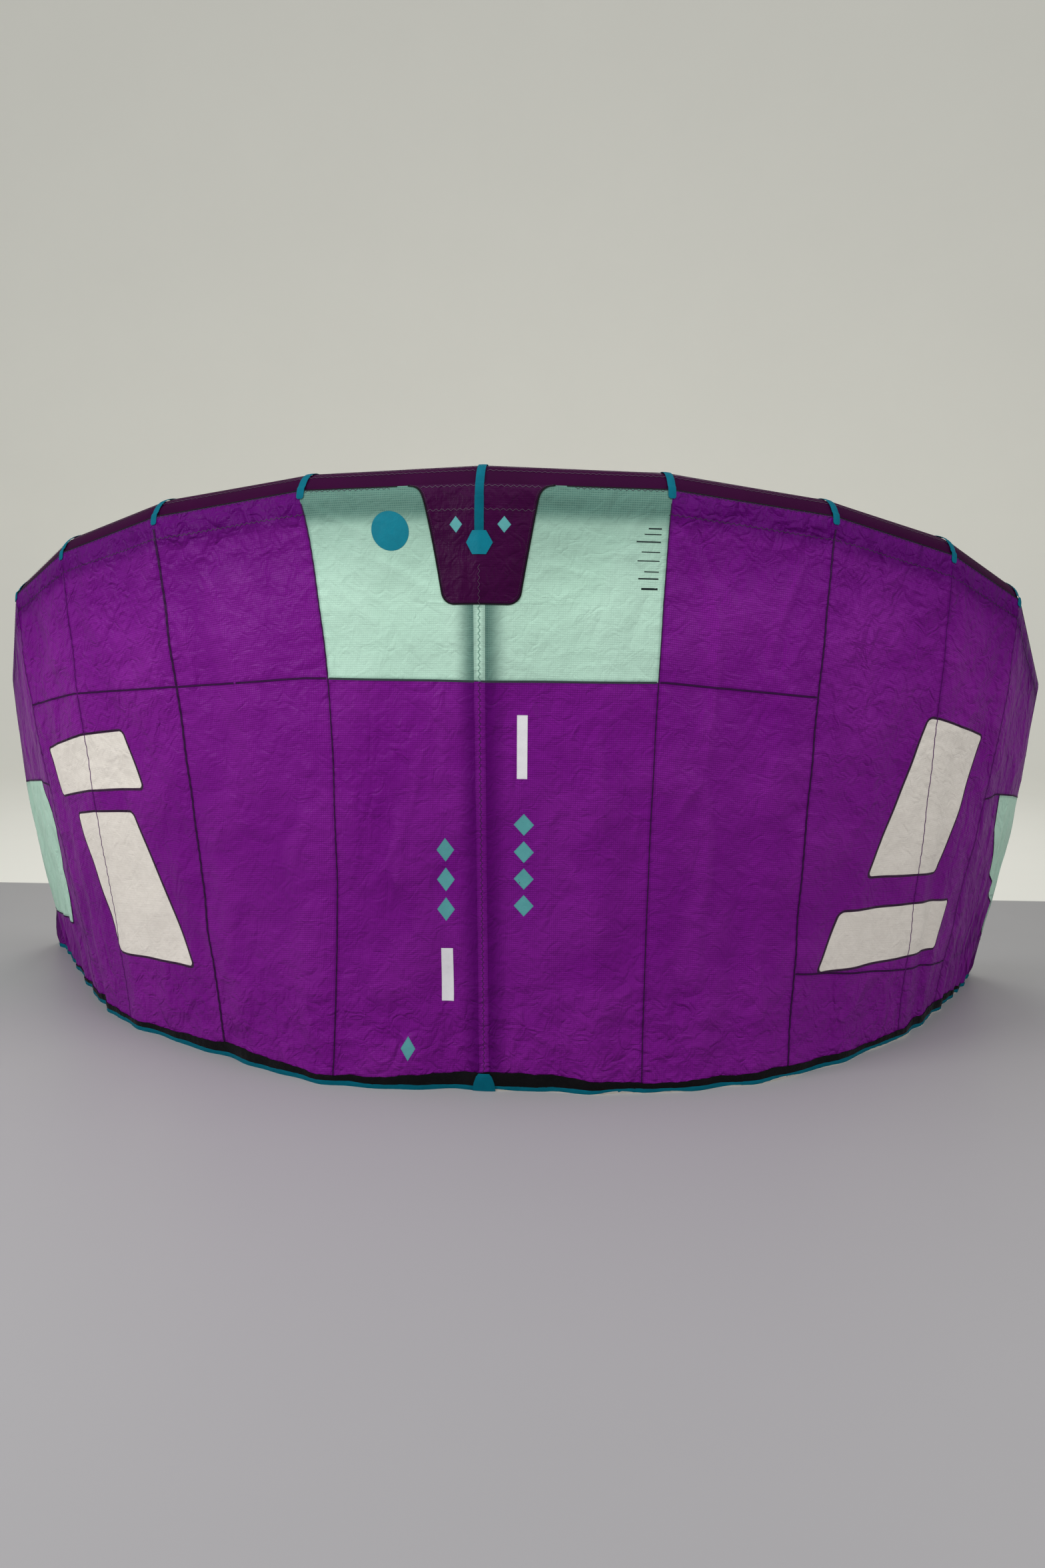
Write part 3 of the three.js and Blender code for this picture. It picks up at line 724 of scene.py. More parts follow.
# ---------------------------------------------------------------- node expressions
class Signal:
    """A socket that can be used in Python expressions; each operator adds a Math node."""

    def __init__(self, nodes: Nodes, socket: bpy.types.NodeSocket) -> None:
        """Wraps an output socket of a tree."""
        self.nodes = nodes
        self.socket = socket

    def math(self, operation: str, *others: Number, first: Number | None = None) -> Signal:
        """Adds a Math node on this signal and others.

        Args:
            operation: the Math node's operation.
            others: the values of its later inputs.
            first: its first input, if that isn't this signal.

        Returns:
            The node's output.
        """
        inputs = [self if first is None else first, *others]
        return self.nodes.node("ShaderNodeMath", {"operation": operation}, dict(enumerate(inputs)))

    def __add__(self, other: Number) -> Signal:
        """Sum."""
        return self.math("ADD", other)

    def __mul__(self, other: Number) -> Signal:
        """Product."""
        return self.math("MULTIPLY", other)

    def __sub__(self, other: Number) -> Signal:
        """Difference."""
        return self.math("SUBTRACT", other)

    def __rsub__(self, other: float) -> Signal:
        """Difference from a number."""
        return self.math("SUBTRACT", self, first=other)

    def __truediv__(self, other: Number) -> Signal:
        """Quotient."""
        return self.math("DIVIDE", other)

    def __abs__(self) -> Signal:
        """Size without sign."""
        return self.math("ABSOLUTE")

    def most(self, other: Number) -> Signal:
        """Larger of two."""
        return self.math("MAXIMUM", other)

    def step(self, low: float, high: float) -> Signal:
        """Smooth step from 0 at low to 1 at high; high may be the lower one.

        Args:
            low: value that gives 0.
            high: value that gives 1.

        Returns:
            The step.
        """
        ends = (low, high, 0.0, 1.0) if low <= high else (high, low, 1.0, 0.0)
        sockets = {"Value": self, **dict(zip(("From Min", "From Max", "To Min", "To Max"), ends))}
        return self.nodes.node("ShaderNodeMapRange", {"interpolation_type": "SMOOTHSTEP", "clamp": True}, sockets)

    def lines(self, pitch: float, low: float, high: float) -> Signal:
        """Lines at a pitch, with the smooth step of their edges."""
        return abs((self / pitch).math("FRACT") - 0.5).step(low, high)


class Nodes:
    """Adds nodes to a tree."""

    def __init__(self, tree: bpy.types.NodeTree) -> None:
        """Takes the tree to build in."""
        self.tree = tree

    def node(self, kind: str, settings: Values | None = None, sockets: Values | None = None, out: Key = 0) -> Signal:
        """Adds a node.

        Args:
            kind: the node's type.
            settings: its properties, set first.
            sockets: values or signals of its inputs, by name or number.
            out: the output to return.

        Returns:
            The chosen output as a signal.
        """
        node = self.tree.nodes.new(kind)
        for key, value in (settings or {}).items():
            setattr(node, key, value)
        for key, value in (sockets or {}).items():
            if isinstance(value, Signal):
                self.tree.links.new(value.socket, node.inputs[key])
            else:
                node.inputs[key].default_value = value
        return Signal(self, node.outputs[out])


class Shader(Nodes):
    """Builds one material's nodes."""

    def __init__(self, name: str) -> None:
        """Starts a material with an empty tree and its output.

        Args:
            name: the material's name.
        """
        self.material = bpy.data.materials.new(name)
        self.material.use_nodes = True
        super().__init__(self.material.node_tree)
        self.tree.nodes.clear()
        self.output = self.tree.nodes.new("ShaderNodeOutputMaterial")

    @cached_property
    def place(self) -> Signal:
        """Object coordinates."""
        return self.node("ShaderNodeTexCoord", out="Object")

    @cached_property
    def weave(self) -> Signal:
        """Place on the cloth in metres, from its UV map."""
        return self.uv("weave")

    def uv(self, name: str) -> Signal:
        """A UV map."""
        return self.node("ShaderNodeUVMap", {"uv_map": name})

    def parts(self, vector: Signal) -> list[Signal]:
        """The three numbers of a vector."""
        outputs = self.node("ShaderNodeSeparateXYZ", {}, {0: vector}).socket.node.outputs
        return [Signal(self, socket) for socket in outputs]

    def attribute(self, name: str) -> Signal:
        """A number stored on the mesh."""
        return self.node("ShaderNodeAttribute", {"attribute_name": name}, out="Fac")

    def noise(self, vector: Signal, scale: float, detail: float = 3.0, rough: float = 0.5, warp: float = 0.0) -> Signal:
        """Noise from 0 to 1."""
        sockets = {"Vector": vector, "Scale": scale, "Detail": detail, "Roughness": rough, "Distortion": warp}
        return self.node("ShaderNodeTexNoise", {}, sockets)

    def mix(self, factor: Number, low: Signal | Colour, high: Signal | Colour) -> Signal:
        """Mixes two colours."""
        colours = [value if isinstance(value, Signal) else (*value, 1.0) for value in (low, high)]
        return self.node("ShaderNodeMix", {"data_type": "RGBA"}, {0: factor, 6: colours[0], 7: colours[1]}, out=2)

    def uneven(self, tone: Signal, gain: float, middle: float, low: Signal | Colour, high: Signal | Colour) -> Signal:
        """Mixes two colours by a noise whose contrast and middle are set."""
        return self.mix((tone - 0.5) * gain + middle, low, high)

    def bump(self, height: Signal, distance: float, strength: float = 1.0, base: Signal | None = None) -> Signal:
        """Normal from a height from 0 to 1 that stands for a distance in metres."""
        sockets = {"Height": height, "Distance": distance, "Strength": strength, "Normal": base}
        return self.node("ShaderNodeBump", {}, {key: value for key, value in sockets.items() if value is not None})

    def finish(self, **sockets: Any) -> bpy.types.Material:
        """Ends the tree in a Principled shader with these inputs, spaces written as underscores.

        Args:
            sockets: values or signals of the shader's inputs.

        Returns:
            The material.
        """
        values = {key: (*value, 1.0) if isinstance(value, tuple) else value for key, value in sockets.items()}
        named = {key.replace("_", " "): value for key, value in values.items()}
        body = self.node("ShaderNodeBsdfPrincipled", {}, named, out="BSDF")
        self.tree.links.new(body.socket, self.output.inputs["Surface"])
        return self.material


# ---------------------------------------------------------------- finishes
# Each cloth's own colour, darker shade and paler colour. The shade darkens the ripstop grid and seam edges, and it is
# the painted shade where the tube or strut lies behind the purple and mint cloth; the paler colour gives random tone
# and the painted highlight on crinkles and creases.
PURPLE, PURPLE_SHADE, PURPLE_PALE_AND_HIGHLIGHT = (0.172, 0.003, 0.23), (0.095, 0.001, 0.135), (0.25, 0.017, 0.31)
MINT, MINT_SHADE, MINT_PALE_AND_HIGHLIGHT = (0.5, 0.77, 0.61), (0.085, 0.19, 0.155), (0.56, 0.82, 0.67)
PLUM, PLUM_SHADE, PLUM_PALE_AND_HIGHLIGHT = (0.036, 0.0006, 0.032), (0.026, 0.001, 0.024), (0.05, 0.002, 0.044)
TEAL, TEAL_SHADE = (0.0005, 0.15, 0.215), (0.0005, 0.1, 0.15)
CREAM, CREAM_SHADE = (0.92, 0.86, 0.78), (0.75, 0.695, 0.62)
INSET_SEAM = (0.05, 0.02, 0.055)
MAP_RIB = 1.6  # length in metres that the layout map's q stands for in the bars


@dataclass(frozen=True)
class Bar:
    """A cream bar set into the outer gores: its middle, and sizes in metres."""

    u: float
    q: float
    wide: float
    high: float
    lean: float
    round: float = 0.02


BARS = (
    Bar(-3.12, 0.41, 0.56, 0.19, 0.35),
    Bar(-2.78, 0.67, 0.36, 0.5, 0.35),
    Bar(3.12, 0.46, 0.36, 0.52, -0.35),
    Bar(2.92, 0.745, 0.6, 0.19, -0.35),
)


@dataclass(frozen=True)
class SailCloth:
    """Ripstop sailcloth with a square grid of thicker threads, with painted shade where the tube or strut lies behind
    it and a painted highlight on its crinkles and creases.
    """

    name: str
    colour: Colour
    # darker colour for the ripstop grid and seam edges, and for the painted shade where the tube or strut lies behind
    shade: Colour
    # paler colour for random tone and for the painted highlight on crinkles and creases
    glow: Colour
    grid: float = 0.5
    crush: float = 1.0
    insets: bool = False
    pitch: float = 0.0062
    rough: float = 0.4

    def make(self) -> bpy.types.Material:
        """Builds the material.

        Returns:
            The material.
        """
        sh = Shader(self.name)
        x, y, _ = sh.parts(sh.weave)
        grid = y.lines(self.pitch, 0.24, 0.46).most(x.lines(self.pitch, 0.3, 0.47) * 0.8)
        mottle = sh.noise(sh.weave, 26.0, 4.0, 0.6, 0.6) - 0.5
        behind, crease, crumple, edge = map(sh.attribute, ("behind", "crease", "crumple", "edge"))
        height = self._crumple(sh)
        base = sh.uneven(sh.noise(sh.place, 3.1, 3.0, 0.55), 1.1, 0.5, self.colour, self.glow)
        # Painted highlight on the ridges of the fine crinkles and of the creases.
        base = sh.mix(((height - 0.2) * crumple * 1.6 + crease * 0.6).step(0.0, 0.5) * 0.55, base, self.glow)
        base = sh.mix(grid * (crumple * -0.6 + 1.25) * self.grid, base, self.shade)
        # Painted shade where the tube or the strut lies close behind the cloth.
        base = sh.mix(behind * (1.0 - grid * 0.15), base, self.shade)
        base = sh.mix(edge.step(0.012, 0.004) * 0.35, base, self.shade)
        relief = height * (crumple * 0.8 + 0.2)
        if self.insets:
            inset, seam = self._insets(sh)
            cream = sh.mix(mottle * 1.2 + 0.4, CREAM, CREAM_SHADE)
            cream = sh.mix(grid * 0.2, cream, CREAM_SHADE)
            base = sh.mix(seam, sh.mix(inset, base, cream), INSET_SEAM)
            relief = relief * (inset * -0.6 + 1.0)
        rough = mottle * 0.25 + self.rough + grid * 0.06
        normal = sh.bump(grid, 0.0003, 0.6, sh.bump(relief, 0.044 * self.crush))
        return sh.finish(Base_Color=base, Roughness=rough, Normal=normal, Specular_IOR_Level=0.06)

    @staticmethod
    def _crumple(sh: Shader) -> Signal:
        """Height of fine creases: sharp valleys in noise of three sizes, and flat facets between them.

        Args:
            sh: the material that is being built.

        Returns:
            The height.
        """
        stretch = {"Vector": sh.weave, "Rotation": (0.0, 0.0, 0.6), "Scale": (1.0, 0.62, 1.0)}
        turned = sh.node("ShaderNodeMapping", {}, stretch)
        height: Number = 0.0
        for vector, scale, share in ((turned, 8.0, 0.9), (sh.weave, 21.0, 0.42), (turned, 47.0, 0.17)):
            height = abs(sh.noise(vector, scale, 1.5, 0.45, 0.9) - 0.5) * share + height
        warp = sh.node("ShaderNodeTexNoise", {}, {"Vector": sh.weave, "Scale": 7.0}, out="Color")
        shift = {0: warp, 1: (0.07, 0.07, 0.0), 2: sh.weave}
        moved = sh.node("ShaderNodeVectorMath", {"operation": "MULTIPLY_ADD"}, shift)
        return sh.node("ShaderNodeTexVoronoi", {}, {"Vector": moved, "Scale": 13.0}) * 0.28 + height

    @staticmethod
    def _insets(sh: Shader) -> tuple[Signal, Signal]:
        """Masks of the cream bars and of the seams round them, on the layout map.

        Args:
            sh: the material that is being built.

        Returns:
            The mask of the bars and the mask of their seams.
        """
        u, q, _ = sh.parts(sh.uv("layout"))
        fills, seams = [], []
        for bar in BARS:
            v = (q - bar.q) * MAP_RIB
            h = (u - bar.u) * GORE_WIDTH - v * bar.lean
            dx = (abs(h) - (bar.wide / 2 - bar.round)).most(0.0)
            dy = (abs(v) - (bar.high / 2 - bar.round)).most(0.0)
            far = (dx * dx + dy * dy).math("SQRT") - bar.round
            fills.append(far.step(0.001, -0.001))
            seams.append(abs(far).step(0.0055, 0.003))
        return reduce(Signal.most, fills), reduce(Signal.most, seams)


@dataclass(frozen=True)
class TubeCloth:
    """Heavy woven polyester of the inflated tubes."""

    name: str
    colour: Colour
    pale: Colour
    capped: bool = False
    thread: float = 0.0016

    def make(self) -> bpy.types.Material:
        """Builds the material.

        Returns:
            The material.
        """
        sh = Shader(self.name)
        x, y, _ = sh.parts(sh.weave)
        tone = sh.noise(sh.place, 7.0, 3.0, 0.6)
        threads = [(axis * (2 * math.pi / self.thread)).math("SINE") for axis in (x, y)]
        scuff = sh.noise(sh.place, 38.0, 4.0, 0.65).step(0.52, 0.8)
        base = sh.uneven(tone, 1.4, 0.45, self.colour, self.pale)
        base = sh.mix(scuff * 0.25, base, self.pale)
        if self.capped:
            z = sh.parts(sh.place)[2]
            base = sh.mix(z.step(0.034, 0.031), base, PLUM)
            base = sh.mix(z.step(0.016, 0.014), base, TEAL)
        normal = sh.bump(sh.noise(sh.weave, 22.0, 3.0, 0.6, 0.5), 0.0022, 0.5)
        normal = sh.bump(threads[0] * threads[1], 0.00012, 0.4, normal)
        return sh.finish(Base_Color=base, Roughness=(tone - 0.5) * 0.2 + 0.5, Normal=normal, Specular_IOR_Level=0.03)


@dataclass(frozen=True)
class Webbing:
    """Woven tape with ribs across it."""

    name: str
    colour: Colour
    shade: Colour
    rough: float = 0.62
    rib: float = 0.0021

    def make(self) -> bpy.types.Material:
        """Builds the material.

        Returns:
            The material.
        """
        sh = Shader(self.name)
        ribs, cross = (axis.lines(self.rib, 0.1, 0.42) for axis in sh.parts(sh.weave)[:2])
        dirt = sh.noise(sh.place, 31.0, 4.0, 0.6)
        base = sh.uneven(dirt, 1.5, 0.5, self.colour, self.shade)
        base = sh.mix(ribs * 0.25 + cross * 0.12, base, self.shade)
        normal = sh.bump(sh.noise(sh.weave, 45.0, 2.0, 0.5), 0.0012, 0.5)
        normal = sh.bump(ribs + cross * 0.6, 0.0003, 0.6, normal)
        rough = (dirt - 0.5) * 0.2 + self.rough
        return sh.finish(Base_Color=base, Roughness=rough, Normal=normal, Specular_IOR_Level=0.06)


@dataclass(frozen=True)
class HemCloth:
    """Black crinkled cloth of the hem band, with dust and a painted highlight on its crinkles' ridges."""

    name: str
    colour: Colour = (0.002, 0.0018, 0.0025)
    dusty: Colour = (0.007, 0.0065, 0.008)
    # paler colour of the painted highlight on the crinkles' ridges
    wear_and_highlight: Colour = (0.025, 0.023, 0.026)

    def make(self) -> bpy.types.Material:
        """Builds the material.

        Returns:
            The material.
        """
        sh = Shader(self.name)
        crush = sh.noise(sh.weave, 55.0, 5.0, 0.65, 1.5)
        dust = sh.noise(sh.place, 9.0, 4.0, 0.7).step(0.45, 0.75)
        base = sh.mix(dust * 0.6, self.colour, self.dusty)
        # Painted highlight where the crinkles' bump is highest.
        base = sh.mix(crush.step(0.62, 0.8) * 0.4, base, self.wear_and_highlight)
        rough, normal = (crush - 0.5) * 0.3 + 0.45, sh.bump(crush, 0.0035, 0.8)
        return sh.finish(Base_Color=base, Roughness=rough, Normal=normal, Specular_IOR_Level=0.12)


@dataclass(frozen=True)
class Thread:
    """Twisted sewing thread."""

    name: str
    colour: Colour

    def make(self) -> bpy.types.Material:
        """Builds the material.

        Returns:
            The material.
        """
        sh = Shader(self.name)
        base = sh.mix(sh.noise(sh.place, 900.0, 1.0), self.colour, tuple(c * 0.6 for c in self.colour))
        return sh.finish(Base_Color=base, Roughness=0.6)


@dataclass(frozen=True)
class LabelCloth:
    """Smooth coated patch with thin edges."""

    name: str
    colour: Colour
    wear_and_highlight: Colour

    def make(self) -> bpy.types.Material:
        """Builds the material.

        Returns:
            The material.
        """
        sh = Shader(self.name)
        wear = sh.noise(sh.place, 24.0, 4.0, 0.6)
        base = sh.uneven(wear, 1.2, 0.4, self.colour, self.wear_and_highlight)
        base = sh.mix(sh.attribute("edge").step(0.003, 0.0005) * 0.5, base, self.wear_and_highlight)
        normal = sh.bump(sh.noise(sh.weave, 60.0, 3.0, 0.6, 0.6), 0.0012, 0.6)
        return sh.finish(Base_Color=base, Roughness=(wear - 0.5) * 0.2 + 0.45, Normal=normal, Specular_IOR_Level=0.12)


class Finish(Enum):
    """The kite's finishes, each with the record's slot that it belongs to."""

    PURPLE_CLOTH = ("purple_canopy", SailCloth("purple ripstop", PURPLE, PURPLE_SHADE, PURPLE_PALE_AND_HIGHLIGHT, 0.6, insets=True))
    MINT_CLOTH = ("mint_canopy", SailCloth("mint ripstop", MINT, MINT_SHADE, MINT_PALE_AND_HIGHLIGHT, 0.16, 0.6))
    PLUM_CLOTH = ("plum_canopy", SailCloth("plum ripstop", PLUM, PLUM_SHADE, PLUM_PALE_AND_HIGHLIGHT, 0.25))
    PLUM_TUBE = ("tube_plum", TubeCloth("plum tube cloth", (0.026, 0.0006, 0.022), (0.036, 0.0014, 0.03)))
    MINT_TUBE = ("tube_mint", TubeCloth("mint tube cloth", (0.3, 0.52, 0.44), (0.38, 0.6, 0.52)))
    NAVY_TUBE = ("tube_navy", TubeCloth("navy tube cloth", (0.012, 0.02, 0.045), (0.02, 0.032, 0.06)))
    CREAM_TUBE = ("tube_cream", TubeCloth("cream tube cloth", CREAM, CREAM_SHADE, capped=True))
    TEAL_TAPE = ("teal_webbing", Webbing("teal webbing", TEAL, TEAL_SHADE))
    BLACK_HEM = ("black_hem", HemCloth("black hem cloth"))
    DARK_SEAM = ("purple_canopy", Webbing("dark seam tape", (0.055, 0.003, 0.075), (0.035, 0.002, 0.05), 0.55))
    PALE_EDGE = ("teal_webbing", Webbing("pale folded edge", (0.62, 0.6, 0.54), (0.5, 0.48, 0.43), 0.6))
    PURPLE_SEAM = ("purple_canopy", Webbing("purple seam tape", (0.1, 0.004, 0.135), (0.07, 0.003, 0.1), 0.5))
    GREY_SEAM = ("mint_canopy", Webbing("grey seam tape", (0.06, 0.09, 0.09), (0.04, 0.06, 0.06), 0.55))
    BLACK_SEAM = ("black_hem", Webbing("black edging", (0.012, 0.01, 0.014), (0.007, 0.006, 0.008), 0.5))
    WHITE_LABEL = ("tube_cream", LabelCloth("white label cloth", (0.93, 0.92, 0.93), (0.78, 0.77, 0.8)))
    TEAL_PATCH = ("teal_webbing", LabelCloth("teal patch cloth", (0.003, 0.21, 0.29), (0.002, 0.15, 0.21)))
    DARK_PRINT = ("mint_canopy", LabelCloth("dark print", (0.02, 0.035, 0.035), (0.015, 0.025, 0.025)))
    MINT_PRINT = ("mint_canopy", LabelCloth("mint print", (0.12, 0.42, 0.42), (0.09, 0.33, 0.34)))
    DARK_THREAD = ("purple_canopy", Thread("dark thread", (0.02, 0.004, 0.03)))
    TEAL_THREAD = ("mint_canopy", Thread("green thread", (0.09, 0.3, 0.22)))
    PLUM_THREAD = ("tube_plum", Thread("plum thread", (0.06, 0.006, 0.055)))
    PALE_THREAD = ("tube_plum", Thread("pale plum thread", (0.1, 0.05, 0.1)))

    @property
    def slot(self) -> str:
        """The record's material slot."""
        return self.value[0]

    @property
    def material(self) -> bpy.types.Material:
        """The material, made when it is first asked for."""
        return bpy.data.materials.get(self.value[1].name) or self.value[1].make()


def dress(piece: bpy.types.Object, finish: Finish, *nodes: str) -> None:
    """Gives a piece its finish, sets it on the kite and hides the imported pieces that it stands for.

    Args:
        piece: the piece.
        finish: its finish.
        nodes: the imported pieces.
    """
    if not piece.data.materials:
        piece.data.materials.append(finish.material)
    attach(piece, "root")
    if nodes:
        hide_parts(*nodes)
    LOG.info("%s: %d faces", piece.name, len(piece.data.polygons))


# ---------------------------------------------------------------- stitches
STITCH_INPUTS = ("Pitch", "Length", "Width", "Height", "Turn")


class Style(Enum):
    """How a row of stitches runs: pitch, length, width and height in metres, and the turn of each stitch."""

    STRAIGHT = (0.0055, 0.0038, 0.0009, 0.0007, 0.0)
    ZIGZAG = (0.0085, 0.0105, 0.0011, 0.0007, 0.6)


@dataclass
class Stitcher:
    """Collects rows of stitches and sews each kind with one Geometry Nodes tree."""

    runs: dict[tuple[Finish, Style], list[Pair]] = field(default_factory=dict)

    def add(self, finish: Finish, style: Style, points: Array, normals: Array) -> None:
        """Adds a row along points, with the cloth's normals there."""
        self.runs.setdefault((finish, style), []).append((points, normals))

    @staticmethod
    def _guide(name: str, rows: list[Pair]) -> bpy.types.Object:
        """Mesh of edges along the rows, with the cloth's normal at each point.

        Args:
            name: the mesh's name.
            rows: points and normals of each row.

        Returns:
            The object, which is removed once its stitches are made.
        """
        points, normals = (np.concatenate(grids) for grids in zip(*rows))
        ends = np.cumsum([len(row) for row, _ in rows])
        k = np.setdiff1d(np.arange(len(points)), ends - 1)
        mesh = bpy.data.meshes.new(name)
        mesh.from_pydata(points.tolist(), np.stack([k, k + 1], -1).tolist(), [])
        layer = mesh.attributes.new("facing", "FLOAT_VECTOR", "POINT")
        layer.data.foreach_set("vector", normals.astype(np.float32).ravel())
        return add_object(name, mesh)

    @staticmethod
    def _tree(material: bpy.types.Material) -> bpy.types.NodeTree:
        """Tree that sets a small flat stitch at every pitch of the guide's edges.

        Args:
            material: the thread's material.

        Returns:
            The tree.
        """
        tree = bpy.data.node_groups.new("stitch row", "GeometryNodeTree")
        tree.interface.new_socket("Geometry", in_out="INPUT", socket_type="NodeSocketGeometry")
        for name in STITCH_INPUTS:
            tree.interface.new_socket(name, in_out="INPUT", socket_type="NodeSocketFloat")
        tree.interface.new_socket("Geometry", in_out="OUTPUT", socket_type="NodeSocketGeometry")
        net = Nodes(tree)
        sockets = net.node("NodeGroupInput").socket.node.outputs
        given = {name: Signal(net, sockets[name]) for name in ("Geometry", *STITCH_INPUTS)}
        curve = net.node("GeometryNodeMeshToCurve", {}, {"Mesh": given["Geometry"]})
        places = net.node("GeometryNodeResampleCurve", {"mode": "LENGTH"}, {"Curve": curve, "Length": given["Pitch"]})
        sizes = {axis: given[name] for axis, name in enumerate(("Length", "Width", "Height"))}
        stitch = net.node("GeometryNodeMeshCube", {}, {"Size": net.node("ShaderNodeCombineXYZ", {}, sizes)})
        kind = {"data_type": "FLOAT_VECTOR"}
        facing = net.node("GeometryNodeInputNamedAttribute", kind, {"Name": "facing"}, "Attribute")
        tangent = {"Vector": net.node("GeometryNodeInputTangent")}
        turn = net.node("FunctionNodeAlignRotationToVector", {"axis": "X"}, tangent)
        upright = {"axis": "Z", "pivot_axis": "X"}
        turn = net.node("FunctionNodeAlignRotationToVector", upright, {"Rotation": turn, "Vector": facing})
        odd = net.node("GeometryNodeInputIndex").math("MODULO", 2.0)
        lean = odd.math("MULTIPLY_ADD", 2.0, -1.0) * given["Turn"]
        lean = net.node("FunctionNodeAxisAngleToRotation", {}, {"Axis": (0.0, 0.0, 1.0), "Angle": lean})
        turn = net.node("FunctionNodeRotateRotation", {"rotation_space": "LOCAL"}, {0: turn, 1: lean})
        rows = {"Points": places, "Instance": stitch, "Rotation": turn}
        placed = net.node("GeometryNodeInstanceOnPoints", {}, rows)
        real = net.node("GeometryNodeRealizeInstances", {}, {"Geometry": placed})
        painted = net.node("GeometryNodeSetMaterial", {}, {"Geometry": real, "Material": material})
        tree.links.new(painted.socket, tree.nodes.new("NodeGroupOutput").inputs["Geometry"])
        return tree

    def sew(self) -> None:
        """Makes one plain mesh of stitches for each thread and style."""
        for (finish, style), rows in self.runs.items():
            name = f"stitches_{finish.name.lower()}_{style.name.lower()}"
            guide = self._guide(name + "_guide", rows)
            tree = self._tree(finish.material)
            modifier = guide.modifiers.new("stitches", "NODES")
            modifier.node_group = tree
            sockets = {item.name: item.identifier for item in tree.interface.items_tree if item.in_out == "INPUT"}
            for key, value in zip(STITCH_INPUTS, style.value):
                modifier[sockets[key]] = value
            graph = bpy.context.evaluated_depsgraph_get()
            sewn = guide.evaluated_get(graph)
            mesh = bpy.data.meshes.new_from_object(sewn, preserve_all_data_layers=True, depsgraph=graph)
            guide.modifiers.clear()
            bpy.data.objects.remove(guide)
            if "facing" in mesh.attributes:
                mesh.attributes.remove(mesh.attributes["facing"])
            mesh.name = name
            dress(add_object(name, mesh), finish)


